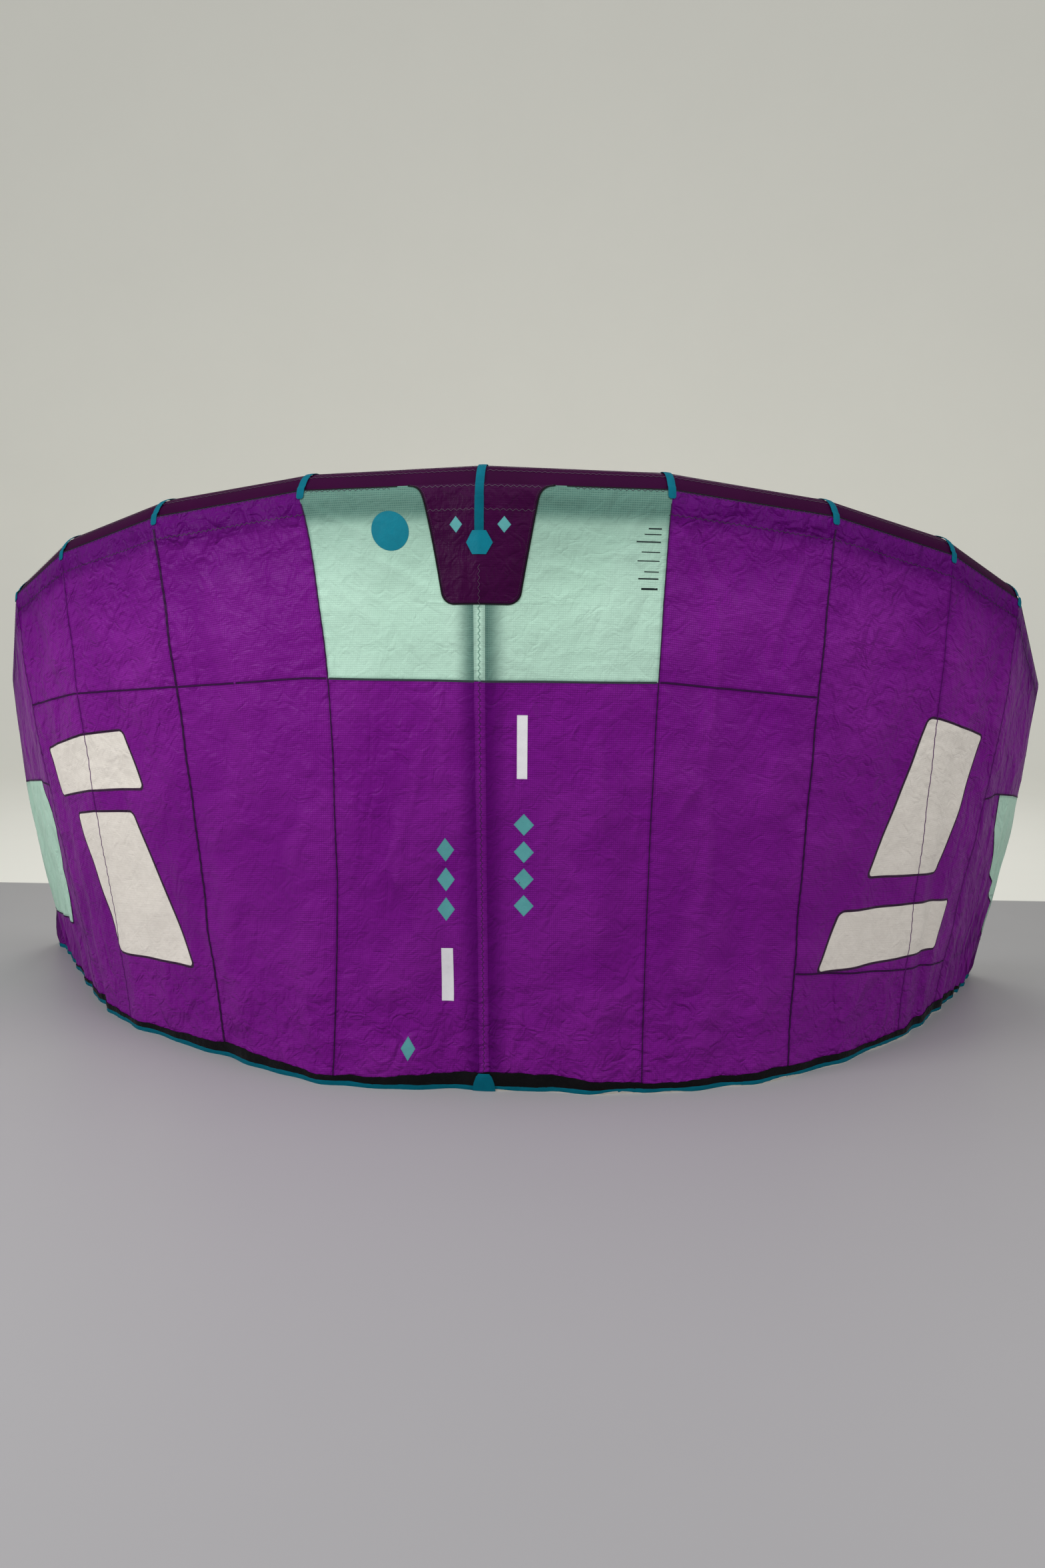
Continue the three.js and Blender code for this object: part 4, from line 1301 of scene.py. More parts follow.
# ---------------------------------------------------------------- the kite's parts
@dataclass
class Workshop:
    """The kite's form, its creases and the stitcher, with the ways to cut and lay pieces on the cloth."""

    form: KiteForm
    relief: Relief
    stitcher: Stitcher

    def laid(self, u: Array, q: Array, lift: float = 0.0) -> Pair:
        """Points at a height over the creased cloth's inner face, and the cloth's normals there.

        Args:
            u: places along the span.
            q: places down the ribs.
            lift: height over the inner face in metres.

        Returns:
            The points and the normals, (..., 3) each.
        """
        u, q = np.broadcast_arrays(np.asarray(u, float), np.asarray(q, float))
        height, normal = self.relief.height(u, q) + lift, self.form.normal(u, q)
        return self.form.skin(u, q) + normal * height[..., None], normal

    def behind(self, u: Array, q: Array) -> Array:
        """Painted shade where the tube or the strut lies close behind the cloth, with a weaker painted shade that fades
        down from the tube, from 0 to 1.

        Args:
            u: places along the span.
            q: places down the ribs.

        Returns:
            The share of painted shade at each place.
        """
        y = q * self.form.between(self.form.rib, u)
        x = np.abs(self.form.weave(u, q)[..., 0])
        strut = smooth(x, 0.085, 0.018) * smooth(q, 0.985, 0.96)
        return np.maximum.reduce([smooth(y, 0.115, 0.03), strut, 0.45 * smooth(y, 0.3, 0.04)])

    @staticmethod
    def crumple(u: Array, q: Array) -> Array:
        """How crumpled the cloth is, from 0 to 1; it also scales the painted highlight on the crinkles.

        Args:
            u: places along the span.
            q: places down the ribs.

        Returns:
            The share at each place.
        """
        out = np.abs(u)
        outer = smooth(out, 1.75, 2.25) * smooth(q, 0.75, 0.25)
        top = smooth(q, 0.1, 0.01) * smooth(out, 0.95, 1.1)
        foot, tip = smooth(q, 0.72, 0.93) * 0.8, smooth(out, 3.2, 4.3) * 0.8
        return 0.3 + 0.7 * np.maximum.reduce([outer * 0.85, top, foot, tip])

    def cut(
        self, name: str, place: Place, cells: tuple[int, int], finish: Finish, *nodes: str, lift: Span = CLOTH
    ) -> None:
        """Cuts a piece of cloth that lies on the canopy.

        Args:
            name: the piece's name.
            place: u and q for each s and t from 0 to 1.
            cells: how many along s and along t.
            finish: its finish.
            nodes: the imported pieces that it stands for.
            lift: heights of its two faces over the canopy's inner face.
        """
        s, t = np.meshgrid(*(np.linspace(0, 1, count + 1) for count in cells), indexing="ij")
        u, q = place(s, t)
        base, normal = self.laid(u, q)
        weave = self.form.weave(u, q)
        x, y = weave[..., 0], weave[..., 1]
        sides = (x - x[:1], x - x[-1:], y - y[:, :1], y - y[:, -1:])
        values = {
            "edge": np.abs(sides).min(axis=0),
            # painted shade of the tube and strut behind, on the canopy's own cloth only
            "behind": self.behind(u, q) * (0.0 if lift[0] >= TAPE_IN else 1.0),
            # crease height, which sets the painted highlight on the creases
            "crease": np.clip(self.relief.height(u, q) / FULL_CREASE, -1, 1),
            "crumple": self.crumple(u, q),
        }
        inner, outer = (base + normal * height for height in lift)
        piece = closed_sheet(name, inner, outer, {"weave": weave, "layout": np.stack([u, q], -1)}, values)
        self.declare(piece, base, weave)
        dress(piece, finish, *nodes)

    @staticmethod
    def declare(piece: bpy.types.Object, points: Array, laid: Array | None = None) -> None:
        """Works out a cut sheet's grid area and, when it is given laid flat, the widths of the rectangles round it at
        turns up to a right angle; it keeps none of them.

        Args:
            piece: the sheet; not used.
            points: its grid of places, whose area is worked out.
            laid: the same grid laid flat, which the rectangles go round.
        """
        if laid is not None:
            flat = laid.reshape(-1, 2)
            for a in np.linspace(0, np.pi / 2, 46):
                axes = ((math.cos(a), math.sin(a)), (-math.sin(a), math.cos(a)))
                [float(np.ptp(flat @ axis)) for axis in axes]
        a, b, c, d = points[:-1, :-1], points[1:, :-1], points[1:, 1:], points[:-1, 1:]
        halves = [np.linalg.norm(np.cross(p - a, q - a), axis=-1).sum() / 2 for p, q in ((b, c), (c, d))]

    @staticmethod
    def ribbon(name: str, points: Array, normals: Array, width: float, finish: Finish, lift: Span) -> None:
        """Flat tape along points on the cloth, as a closed thin body.

        Args:
            name: the piece's name.
            points: its middle line, (n, 3).
            normals: the cloth's normal at each point.
            width: its width in metres.
            finish: its finish.
            lift: heights of its two faces over the line.
        """
        across = np.array([-0.5, 0.0, 0.5]) * width
        base = points[:, None] + sideways(points, normals)[:, None] * across[:, None]
        weave = np.stack(np.broadcast_arrays(run_along(points)[:, None], across), -1)
        edge = np.broadcast_to(width / 2 - np.abs(across), base.shape[:2])
        inner, outer = (base + normals[:, None] * height for height in lift)
        dress(closed_sheet(name, inner, outer, {"weave": weave}, {"edge": edge}), finish)

    def tape(
        self,
        name: str,
        u: Array,
        q: Array,
        finish: Finish = Finish.DARK_SEAM,
        thread: Finish | None = Finish.DARK_THREAD,
        width: float = SEAM_WIDTH,
    ) -> None:
        """Seam tape along a line on the canopy, with one row of stitches, or two where it is wide.

        Args:
            name: the piece's name.
            u: places along the span.
            q: places down the ribs.
            finish: its finish.
            thread: its stitches' finish, or none.
            width: its width in metres.
        """
        points, normals = self.laid(u, q)
        self.ribbon(name, points, normals, width, finish, TAPE)
        if thread:
            side = sideways(points, normals)
            for k in (-1, 1) if width > SEAM_WIDTH else (0,):
                row = points + side * k * (width / 2 - SEAM_MARGIN) + normals * (TAPE_OUT + THREAD_LIFT)
                self.stitcher.add(thread, Style.STRAIGHT, row, normals)

    def row(
        self, u: Array, q: Array | float, finish: Finish, style: Style = Style.ZIGZAG, lift: float = CLOTH_OUT
    ) -> None:
        """Row of stitches straight on the canopy or on what lies on it."""
        self.stitcher.add(finish, style, *self.laid(u, q, lift + THREAD_LIFT))


@dataclass
class Part:
    """A sub-assembly, made with the workshop."""

    shop: Workshop

    @property
    def form(self) -> KiteForm:
        """The kite's smooth form."""
        return self.shop.form


@dataclass(frozen=True)
class Gore:
    """A gore between two ribs, with its level seam as a part of the rib at its inner and outer side."""

    side: int
    number: int
    seam_in: float
    seam_out: float

    def seam(self, u: Array) -> Array:
        """The level seam as q over u."""
        return self.seam_in + (self.seam_out - self.seam_in) * (np.abs(u) - self.number + 1)


GORES = (
    Gore(-1, 1, 0.291, 0.288),
    Gore(-1, 2, 0.288, 0.285),
    Gore(-1, 3, 0.285, 0.266),
    Gore(-1, 4, 0.266, 0.24),
    Gore(1, 1, 0.291, 0.289),
    Gore(1, 2, 0.289, 0.293),
    Gore(1, 3, 0.797, 0.835),
    Gore(1, 4, 0.835, 0.855),
)
# The mint tip panel's curved inner seam on each side: place along the span over the part of the way down.
TIP_SEAMS = {
    -1: ((0, 4.38), (0.12, 4.24), (0.3, 4.2), (0.6, 4.4), (0.68, 4.37), (1, 4.52)),
    1: ((0, 4.5), (0.2, 4.6), (0.5, 5.05), (0.65, 5.6), (0.8, 6.2), (1, 6.7)),
}
RIB_SEAM_WIDTHS = {1: 0.004, 2: 0.008, 3: 0.004, 4: 0.003}


@dataclass
class Canopy(Part):
    """The sailcloth: gores, mint panels, tips and centre patch. Sizes in metres or parts of a gore and rib."""

    cell: float = 0.0085
    foot: float = 0.012
    patch_top: float = 0.29
    patch_foot: float = 0.2
    patch_to: float = 0.165
    patch_corner: float = 0.03
    patch_fillet: float = 0.042
    patch_radius: float = 0.104
    patch_over: float = 0.008
    patch_gore: float = 0.5
    mint_top: float = 0.832
    mint_foot: float = 0.195
    mint_end: float = 7.0

    def build(self) -> None:
        """Cuts all panels and closes their seams."""
        for gore in GORES:
            word, number, high = SIDES[gore.side], gore.number, gore.seam_in > 0.5
            span = (number - 1, number, gore.side)
            if number > 1:
                self._panel(f"{word}_{number}_upper", span, self._top, gore.seam, 1.4 if high else 0.5)
            self._panel(f"{word}_{number}_lower", span, gore.seam, self._foot, 0.28 if high else 1.22)
            u = np.linspace(number - 1 + 0.01, number - 0.01, 60) * gore.side
            tape = Finish.GREY_SEAM if number == 1 else Finish.DARK_SEAM
            self.shop.tape(f"cross_seam_{word}_{number}", u, gore.seam(u), tape)
        for side in SIDES:
            self._mint_panel(side)
            self._tip(side)
        self._patch()
        for side in SIDES:
            self._gore_seams(side)
        for side in SIDES:
            self._edge_rows(side)
        for q, half in ((-0.8, 0.31), (0.022, 0.28)):
            self.shop.row(np.linspace(-half, half, 60), q, Finish.PALE_THREAD, lift=PATCH_OUT)

    @staticmethod
    def _top(u: Array) -> Array:
        """The cloth's upper edge on the tube."""
        return level(u, -1.0)

    def _foot(self, u: Array) -> Array:
        """The cloth's lower edge over the floor."""
        return self.form.level_at(u, self.foot)

    def _cells(self, wide: float, tall: float) -> tuple[int, int]:
        """Number of cells over a width and a height."""
        return max(2, round(wide / self.cell)), max(2, round(tall / self.cell))

    def _rows(self, u: Array, t: Array, top: Array, bottom: Array) -> Array:
        """q at even distances down the cloth between two edges.

        Args:
            u: places along the span.
            t: parts of the way down, from 0 to 1.
            top: q of the upper edge.
            bottom: q of the lower edge.

        Returns:
            q at each place.
        """
        wrap, rib = self.form.between(self.form.radii, u) * FACET, self.form.between(self.form.rib, u)
        start, end = (np.where(q < 0, q * wrap, q * rib) for q in (top, bottom))
        y = start * (1 - t) + end * t
        return np.where(y < 0, y / wrap, y / rib)

    def _panel(self, name: str, span: tuple[float, float, int], top: Edge, bottom: Edge, tall: float) -> None:
        """One purple panel between two places along the span of a side and two edges down the rib.

        Args:
            name: the piece's name.
            span: its inner and outer place along the span, and its side.
            top: its upper edge.
            bottom: its lower edge.
            tall: about its height in metres, for the grid.
        """
        u_in, u_out, side = span
        kind = "tip" if "tip" in name else "gore"

        def place(s: Array, t: Array) -> Pair:
            """Spreads the grid between the panel's edges."""
            u = side * (u_in + (u_out - u_in) * s)
            return u, self._rows(u, t, top(u), bottom(u))

        cells = self._cells(self.form.width(side * u_in, side * u_out), tall)
        node = f"{kind}_{name.replace('_tip', '')}"
        self.shop.cut(f"sail_{name}", place, cells, Finish.PURPLE_CLOTH, node)

    def _patch_edge(self, q: Array) -> Array:
        """Half width of the centre patch, in gores."""
        return self.patch_top + (self.patch_foot - self.patch_top) * clamp(q / self.patch_to)

    def _mint_panel(self, side: int) -> None:
        """Mint panel beside the centre patch; below the patch it reaches the centre line.

        Args:
            side: -1 for the left, 1 for the right.
        """
        gore = next(gore for gore in GORES if gore.side == side and gore.number == 1)
        above, below = self._cells(0.33, 0.2)
        rows, start = above + 1 + below, self.patch_to + 0.003

        def place(s: Array, t: Array) -> Pair:
            """Rows beside the patch start at its edge, rows below it at the centre line.

            Args:
                s: places across the grid, from 0 to 1.
                t: places down the grid, from 0 to 1.

            Returns:
                u and q at each place of the grid.
            """
            row = np.round(t * rows)
            beside = self._rows(level(s, 0.6), clamp(row / above), level(s, -1.0), level(s, self.patch_to))
            seam = gore.seam_in + (gore.seam_out - gore.seam_in) * s
            low = start + (seam - self.patch_to - 0.003) * clamp((row - above - 1) / below)
            q = np.where(row > above, low, beside)
            edge = np.where(row > above, 0.0, self._patch_edge(q))
            return side * (edge + (1 - edge) * s), q

        name, node = f"sail_{SIDES[side]}_1_mint", f"mint_{SIDES[side]}"
        self.shop.cut(name, place, (44, rows), Finish.MINT_CLOTH, node)

    def _tip(self, side: int) -> None:
        """Purple, mint and purple panels beyond the fourth rib.

        Args:
            side: -1 for the left, 1 for the right.
        """
        form, word = self.form, SIDES[side]
        tube_height = float(form.ring(np.array(side * 6.0), np.array(LEAVE_ANGLE), 0.0)[2])

        def seam_top(u: Array) -> Array:
            """Upper seam of the mint panel: level, and then round the tube at its joint.

            Args:
                u: places along the span.

            Returns:
                q of the seam.
            """
            out = np.abs(u)
            rise = clamp((out - 6.0) / 0.03)
            height = np.interp(out, [4.4, 6.0], [self.mint_top, tube_height])
            return np.maximum(form.level_at(u, height), 0.0) * (1 - rise) - rise

        def seam_foot(u: Array) -> Array:
            """Lower seam of the mint panel, which ends on the tube.

            Args:
                u: places along the span.

            Returns:
                q of the seam.
            """
            near = side * np.minimum(np.abs(u), 6.8)
            rise = clamp((np.abs(u) - 6.8) / 0.2)
            height = self.mint_foot + (0.07 if side < 0 else 0.0) * clamp((6.2 - np.abs(near)) / 1.75)
            return form.level_at(near, height) * (1 - rise) + 0.03 * rise

        def lower_top(u: Array) -> Array:
            """Upper edge of the lower panel, which goes round the tube beyond the mint panel."""
            beyond = np.interp(np.abs(u), [self.mint_end, self.mint_end + 0.15], [0.03, -1.0])
            return np.where(np.abs(u) > self.mint_end, beyond, seam_foot(u))

        def inner(t: Array) -> Array:
            """The mint panel's inner seam."""
            return np.interp(t, *zip(*TIP_SEAMS[side]))

        def strip(start: Edge, end: Edge) -> Place:
            """Grid between two lines down the tip, at the height of the mint panel.

            Args:
                start: line nearer the middle.
                end: line nearer the tip.

            Returns:
                The grid.
            """

            def place(s: Array, t: Array) -> Pair:
                """Spreads the grid between the lines."""
                u = side * (start(t) + (end(t) - start(t)) * s)
                return u, self._rows(u, t, seam_top(u), seam_foot(u))

            return place

        mint = strip(inner, lambda t: self.mint_end)
        beside = strip(lambda t: 4, inner)
        self._panel(f"{word}_tip_upper", (4, 6.03, side), self._top, lambda u: np.maximum(seam_top(u), -0.999), 0.6)
        self.shop.cut(f"sail_{word}_tip_mint", mint, self._cells(0.95, 0.75), Finish.MINT_CLOTH, f"tip_{word}_mint")
        cells = self._cells(0.22 if side < 0 else 0.6, 0.75)
        self.shop.cut(f"sail_{word}_tip_beside", beside, cells, Finish.PURPLE_CLOTH)
        t = np.linspace(0, 1, 90)
        self.shop.tape(f"tip_seam_{word}_inner", *mint(np.zeros_like(t), t))
        self._panel(f"{word}_tip_lower", (4, TIP_END, side), lower_top, self._foot, 0.2)
        ends = (("upper", seam_top, 4.01, 5.99, 120), ("lower", seam_foot, inner(1.0), 6.95, 160))
        for edge, seam, start, end, count in ends:
            u = side * np.linspace(start, end, count)
            self.shop.tape(f"tip_seam_{word}_{edge}", u, seam(u))

    def _patch(self) -> None:
        """Plum patch over the middle of the tube, with rounded lower corners and a dark edging."""
        corner, fillet, rib = self.patch_corner, self.patch_fillet, self.form.chord

        def place(s: Array, t: Array) -> Pair:
            """Trapezoid that narrows at its rounded lower corners and flares at its top.

            Args:
                s: places across the grid, from 0 to 1.
                t: places down the grid, from 0 to 1.

            Returns:
                u and q at each place of the grid.
            """
            end = self.patch_to + 0.0035
            q = self._rows(level(s, 0.0), t, level(s, -1.0), level(s, end))
            below = clamp((q - end) * rib / corner + 1)
            pull = corner * (1 - np.sqrt(1 - np.clip(below, 0, 0.999) ** 2))
            wrap = FACET * self.patch_radius
            drop = np.where(q < 0, (q + 1) * FACET * self.patch_radius, wrap + q * rib)
            flare = fillet - np.sqrt(fillet**2 - np.clip(fillet - drop, 0, fillet) ** 2)
            half = self._patch_edge(q) + (self.patch_over - pull + flare) / self.patch_gore
            return (2 * s - 1) * half, q

        lift = (TAPE_IN, TAPE_OUT + 0.0004)
        self.shop.cut("centre_patch_cloth", place, (36, 34), Finish.PLUM_CLOTH, "centre_patch", lift=lift)
        t, s = np.linspace(0.0, 1, 120), np.linspace(0, 1, 40)[1:-1]
        left, foot, right = place(np.zeros_like(t), t), place(s, np.ones_like(s)), place(np.ones_like(t), t)
        u, q = (np.concatenate([left[k], foot[k], right[k][::-1]]) for k in (0, 1))
        lift = (TAPE_IN + 0.0001, TAPE_OUT + 0.0009)
        self.shop.ribbon("centre_patch_edging", *self.shop.laid(u, q), 0.005, Finish.BLACK_SEAM, lift)
        share = np.concatenate([np.ones(len(t)), np.full(len(s), 0.3), np.ones(len(t))])
        inset = 0.007 / self.patch_gore * np.sign(u) * share
        inside = q - 0.0042 * smooth(q, 0.14, 0.172)
        self.shop.row(u - inset, inside, Finish.PLUM_THREAD, Style.STRAIGHT, PATCH_OUT)
        down = np.linspace(0.11, self.patch_to + 0.002, 40)
        self.shop.row(np.zeros_like(down), down, Finish.PALE_THREAD, lift=PATCH_OUT)

    def _gore_seams(self, side: int) -> None:
        """Tapes down the ribs between gores.

        Args:
            side: -1 for the left, 1 for the right.
        """
        for number, width in RIB_SEAM_WIDTHS.items():
            inner = number < 3
            u = np.full(260, float(side * number))
            q = np.linspace(0.005, float(self.form.level_at(u[:1], 0.03)[0]), 260)
            finish, thread = (Finish.DARK_SEAM, Finish.DARK_THREAD) if inner else (Finish.PURPLE_SEAM, None)
            wide = width if side < 0 else 0.75 * width
            self.shop.tape(f"rib_seam_{SIDES[side]}_{number}", u, q, finish, thread, wide)

    def _edge_rows(self, side: int) -> None:
        """Edging and zigzag rows along the tube's edge of the cloth.

        Args:
            side: -1 for the left, 1 for the right.
        """
        u = side * np.linspace(0.45, 5.9, 700)
        lift = (TAPE_IN - 0.00005, TAPE_OUT - 0.0002)
        self.shop.ribbon(f"edging_{SIDES[side]}", *self.shop.laid(u, -0.97), 0.004, Finish.BLACK_SEAM, lift)
        for start, q in ((0.5, -0.84), (1.0, 0.022)):
            self.shop.row(side * np.linspace(start, 7.3, 900), q, Finish.DARK_THREAD)
        u = side * np.linspace(0.04, 6.0, 900)
        points = self.form.ring(u, level(u, math.radians(55)), 0.0)
        self.shop.stitcher.add(Finish.PALE_THREAD, Style.ZIGZAG, points, unit(points - self.form.middle(u)))


# Number, ends along the span, colour and finish of the tube's outer segments.
TUBE_ENDS = (
    (7, 6.0, 6.5, "mint", Finish.MINT_TUBE),
    (8, 6.5, 7.0, "navy", Finish.NAVY_TUBE),
    (9, 7.0, 8.0, "cream", Finish.CREAM_TUBE),
)


@dataclass
class Tubes(Part):
    """The inflated leading edge tube and the strut behind the middle of the canopy."""

    sides: int = 56
    step: float = 0.02
    strut_sides: int = 40
    strut_top: float = 0.06
    strut_foot: float = 0.05
    strut_from: float = 0.035
    strut_to: float = 0.972
    strut_close: float = 0.03  # part of the rib over which its lower end closes
    inset: float = 0.0012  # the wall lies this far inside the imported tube
    waist: float = 0.0022  # drawn in at a joint
    pucker: float = 0.0016

    def build(self) -> None:
        """Makes the tube's coloured segments and the strut."""
        plum = [f"tube_{word}_{k}" for word in SIDES.values() for k in range(1, 7)]
        self._segment("leading_edge_plum", -6.0, 6.0, Finish.PLUM_TUBE, plum)
        for side, word in SIDES.items():
            for number, start, end, colour, finish in TUBE_ENDS:
                name, node = f"leading_edge_{word}_{colour}", f"tube_{word}_{number}"
                self._segment(name, side * start, side * end, finish, [node])
        self._strut()

    def _wall(self, u: Array, angle: Array) -> Array:
        """Offset of the inflated wall: drawn in and puckered at each joint, a little fuller between.

        Args:
            u: places along the span.
            angle: angles from the rib's front.

        Returns:
            The offset in metres.
        """
        near = np.round(u)
        away = np.abs(self.form.between(self.form.tube_run, u) - self.form.between(self.form.tube_run, near))
        pucker = self.pucker * np.exp(-away / 0.03) * np.sin(angle * 17 + near * 2.3) * smooth(away, 0.0, 0.015)
        return -self.waist * np.exp(-((away / 0.014) ** 2)) + pucker - self.inset

    def _segment(self, name: str, start: float, end: float, finish: Finish, nodes: list[str]) -> None:
        """A run of the tube in one colour, with rings close together at its joints.

        Args:
            name: the piece's name.
            start: place of one end along the span.
            end: place of the other end.
            finish: its finish.
            nodes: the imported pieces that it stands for.
        """
        form, low, high = self.form, min(start, end), max(start, end)
        stations = np.linspace(start, end, max(4, round(form.width(start, end) / self.step)) + 1)
        joints = np.arange(math.ceil(low), math.floor(high) + 1)
        extra = [joint + sign * gap for joint in joints for sign in (-1, 1) for gap in (0.0, 0.012, 0.03)]
        stations = np.unique(np.concatenate([stations, [u for u in extra if low < u < high]]))
        angles = LEAVE_ANGLE + FACET / 2 + np.pi + 2 * np.pi * np.arange(self.sides) / self.sides
        u, angle = np.meshgrid(stations, angles, indexing="ij")
        weave = np.stack([form.between(form.tube_run, u), (angle - angles[0]) * form.between(form.radii, u)], -1)
        self._inflate(name, form.ring(u, angle, self._wall(u, angle)), weave, finish, nodes)

    def _strut(self) -> None:
        """Strut that follows the middle rib, with a rounded lower end."""
        form, close = self.form, self.strut_close
        end = self.strut_to - close * np.cos(np.linspace(0.08, 1, 12) * np.pi / 2)
        q = np.concatenate([np.linspace(self.strut_from, self.strut_to - close, 70), end])
        part = (q - self.strut_from) / (self.strut_to - self.strut_from)
        radius = self.strut_top + (self.strut_foot - self.strut_top) * part
        narrow = np.sqrt(np.clip(1 - clamp((q - self.strut_to + close) / close) ** 2, 0.02, 1))
        zero = np.zeros_like(q)
        back = -form.normal(zero, q)
        middle = form.skin(zero, q) + back * (radius + 0.0028)[:, None]
        angle = 2 * np.pi * np.arange(self.strut_sides) / self.strut_sides
        wide = (radius * narrow)[:, None]
        across, behind = (wide * np.cos(angle))[..., None], (wide * np.sin(angle))[..., None]
        rings = middle[:, None] + across * np.array([1.0, 0, 0]) + behind * back[:, None]
        weave = np.stack(np.broadcast_arrays((q * form.chord)[:, None], radius[:, None] * angle), -1)
        self._inflate("strut_tube", rings, weave, Finish.PLUM_TUBE, ["centre_strut"])

    @staticmethod
    def _inflate(name: str, rings: Array, weave: Array, finish: Finish, nodes: list[str]) -> None:
        """Makes an inflated piece from its rings.

        Args:
            name: the piece's name.
            rings: its rings of points.
            weave: places on the cloth in metres.
            finish: its finish.
            nodes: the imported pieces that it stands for.
        """
        piece = closed_tube(name, rings, weave)
        dress(piece, finish, *nodes)


@dataclass
class Tapes(Part):
    """Teal tapes over the tube's joints, the strap with its six-sided patch, and the hem's tab."""

    band_width: float = 0.022
    strap_width: float = 0.0235
    strap_end: float = 0.062
    patch_radius: float = 0.036
    tab_tall: float = 0.056
    tab_wide: float = 0.075
    lift: float = 0.0006
    thick: float = 0.0012
    across: Array = field(default_factory=lambda: np.linspace(-0.5, 0.5, 5))

    def build(self) -> None:
        """Makes the tapes."""
        for side in SIDES:
            for joint in (1, 2, 3, 4):
                self._band(side, joint)
        self._strap()
        self._six_sided_patch()
        self._tab()

    def _lay(self, node: str, inner: Array, outer: Array, run: Array, width: float) -> None:
        """Makes a tape between two faces, given the length along it.

        Args:
            node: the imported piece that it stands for.
            inner: the inner face's grid.
            outer: the outer face's grid.
            run: the length along it in metres.
            width: its width in metres.
        """
        weave = np.stack(np.broadcast_arrays(run, self.across[:, None] * width), -1)
        piece = closed_sheet(node + "_tape", inner, outer, {"weave": weave}, {})
        dress(piece, Finish.TEAL_TAPE, node)

    def _band(self, side: int, joint: int) -> None:
        """Tape round the tube at a joint, from the cloth's edge to the tube's back.

        Args:
            side: -1 for the left, 1 for the right.
            joint: the joint's number on that side.
        """
        form, middle = self.form, side * joint
        gore = abs(float(form.tube_run[middle + LAST] - form.tube_run[side * (joint - 1) + LAST]))
        angle = np.radians(np.concatenate([np.linspace(11, 34, 24), np.linspace(36, 330, 148)]))
        u, a = np.meshgrid(middle + self.across * self.band_width / gore, angle, indexing="ij")
        ends = clamp((a - angle[0]) / math.radians(4.5))
        u = middle + (u - middle) * np.sqrt(1 - (1 - ends) ** 2 * 0.75)
        over = smooth(a, math.radians(35), math.radians(29))
        base = self.lift + over * (form.clearance(u) + 0.0026)
        run = np.concatenate([[0.0], np.cumsum(np.diff(angle))]) * form.radii[middle + LAST]
        inner, outer = form.ring(u, a, base), form.ring(u, a, base + self.thick)
        self._lay(f"band_{SIDES[side]}_{joint}", inner, outer, run, self.band_width)

    def _strap(self) -> None:
        """Strap over the top of the tube and down the patch."""
        form = self.form
        rows = ((-6, -1.12, 40), (-1.06, 0, 16), (0.002, self.strap_end, 20))
        q = np.concatenate([np.linspace(*row) for row in rows])
        u, down = np.meshgrid(self.across * self.strap_width / form.gore, q, indexing="ij")
        angle, free = LEAVE_ANGLE - FACET * down, (down > 0)[..., None]
        over = smooth(down, -1.12, -1.0) * (form.clearance(u) + TRIM_OUT - self.lift)
        inner = np.where(free, self.shop.laid(u, down, TRIM_OUT)[0], form.ring(u, angle, self.lift + over))
        round_tube = unit(form.ring(u, angle, 1.0) - form.ring(u, angle, 0.0))
        out = np.where(free, form.normal(u, np.maximum(down, 0.001)), round_tube)
        self._lay("centre_strap", inner, inner + out * self.thick, run_along(inner[2]), self.strap_width)

    def _six_sided_patch(self) -> None:
        """Patch under the strap's end, on its point."""
        radius = self.patch_radius
        middle = self.strap_end * self.form.chord + radius * 0.55

        def place(s: Array, t: Array) -> Pair:
            """Six-sided shape with its points at the left and right.

            Args:
                s: places across the grid, from 0 to 1.
                t: places down the grid, from 0 to 1.

            Returns:
                u and q at each place of the grid.
            """
            across = 2 * s - 1
            tall = radius * 0.9 * np.minimum(1.0, 2 * (1.0 - np.abs(across)) + 0.02)
            return across * radius / self.form.gore, (middle + (2 * t - 1) * tall) / self.form.chord

        lift = (TRIM_OUT + 0.0006, TRIM_OUT + 0.0014)
        self.shop.cut("strap_patch_cloth", place, (16, 10), Finish.TEAL_PATCH, "strap_patch", lift=lift)

    def _tab(self) -> None:
        """Tab over the hem in the middle: a trapezoid with rounded upper corners."""
        tall, wide = self.tab_tall, self.tab_wide
        rows = np.concatenate([np.linspace(0.0005, 0.042, 14), np.linspace(0.044, tall, 7)])
        s = np.linspace(-1, 1, 17)[:, None]
        half = np.interp(rows, [0, 0.024, 0.046, tall], [wide / 2, 0.034, 0.026, 0.0175])
        u = s * half / self.form.gore
        z = np.broadcast_to(rows, u.shape)
        base = self.shop.laid(u, self.form.level_at(u, z))[0]
        base[..., 2] = z
        lift = np.interp(z, [0, 0.046, tall], [0.0074, 0.0074, 0.0062])
        out = self.form.outward(u, flat=True)
        inner, outer = (base + out * height[..., None] for height in (lift, lift + 0.0016))
        piece = closed_sheet("hem_tab_cloth", inner, outer, {"weave": np.stack([z, s * half], -1)}, {})
        dress(piece, Finish.TEAL_TAPE, "hem_tab")


# Name, place along the span, ends down the rib and number of each printed column of lozenges.
PRINT_COLUMNS = (("left", -0.245, 0.545, 0.7, 3), ("right", 0.252, 0.503, 0.688, 4))
# Place down the rib, length in gores and height in metres of each fine printed bar.
PRINT_ROWS = (
    (0.045, 0.07, 0.004), (0.054, 0.09, 0.003), (0.066, 0.13, 0.004), (0.082, 0.1, 0.003), (0.096, 0.12, 0.003),
    (0.113, 0.08, 0.003), (0.124, 0.11, 0.004), (0.14, 0.09, 0.006),
)  # fmt: skip
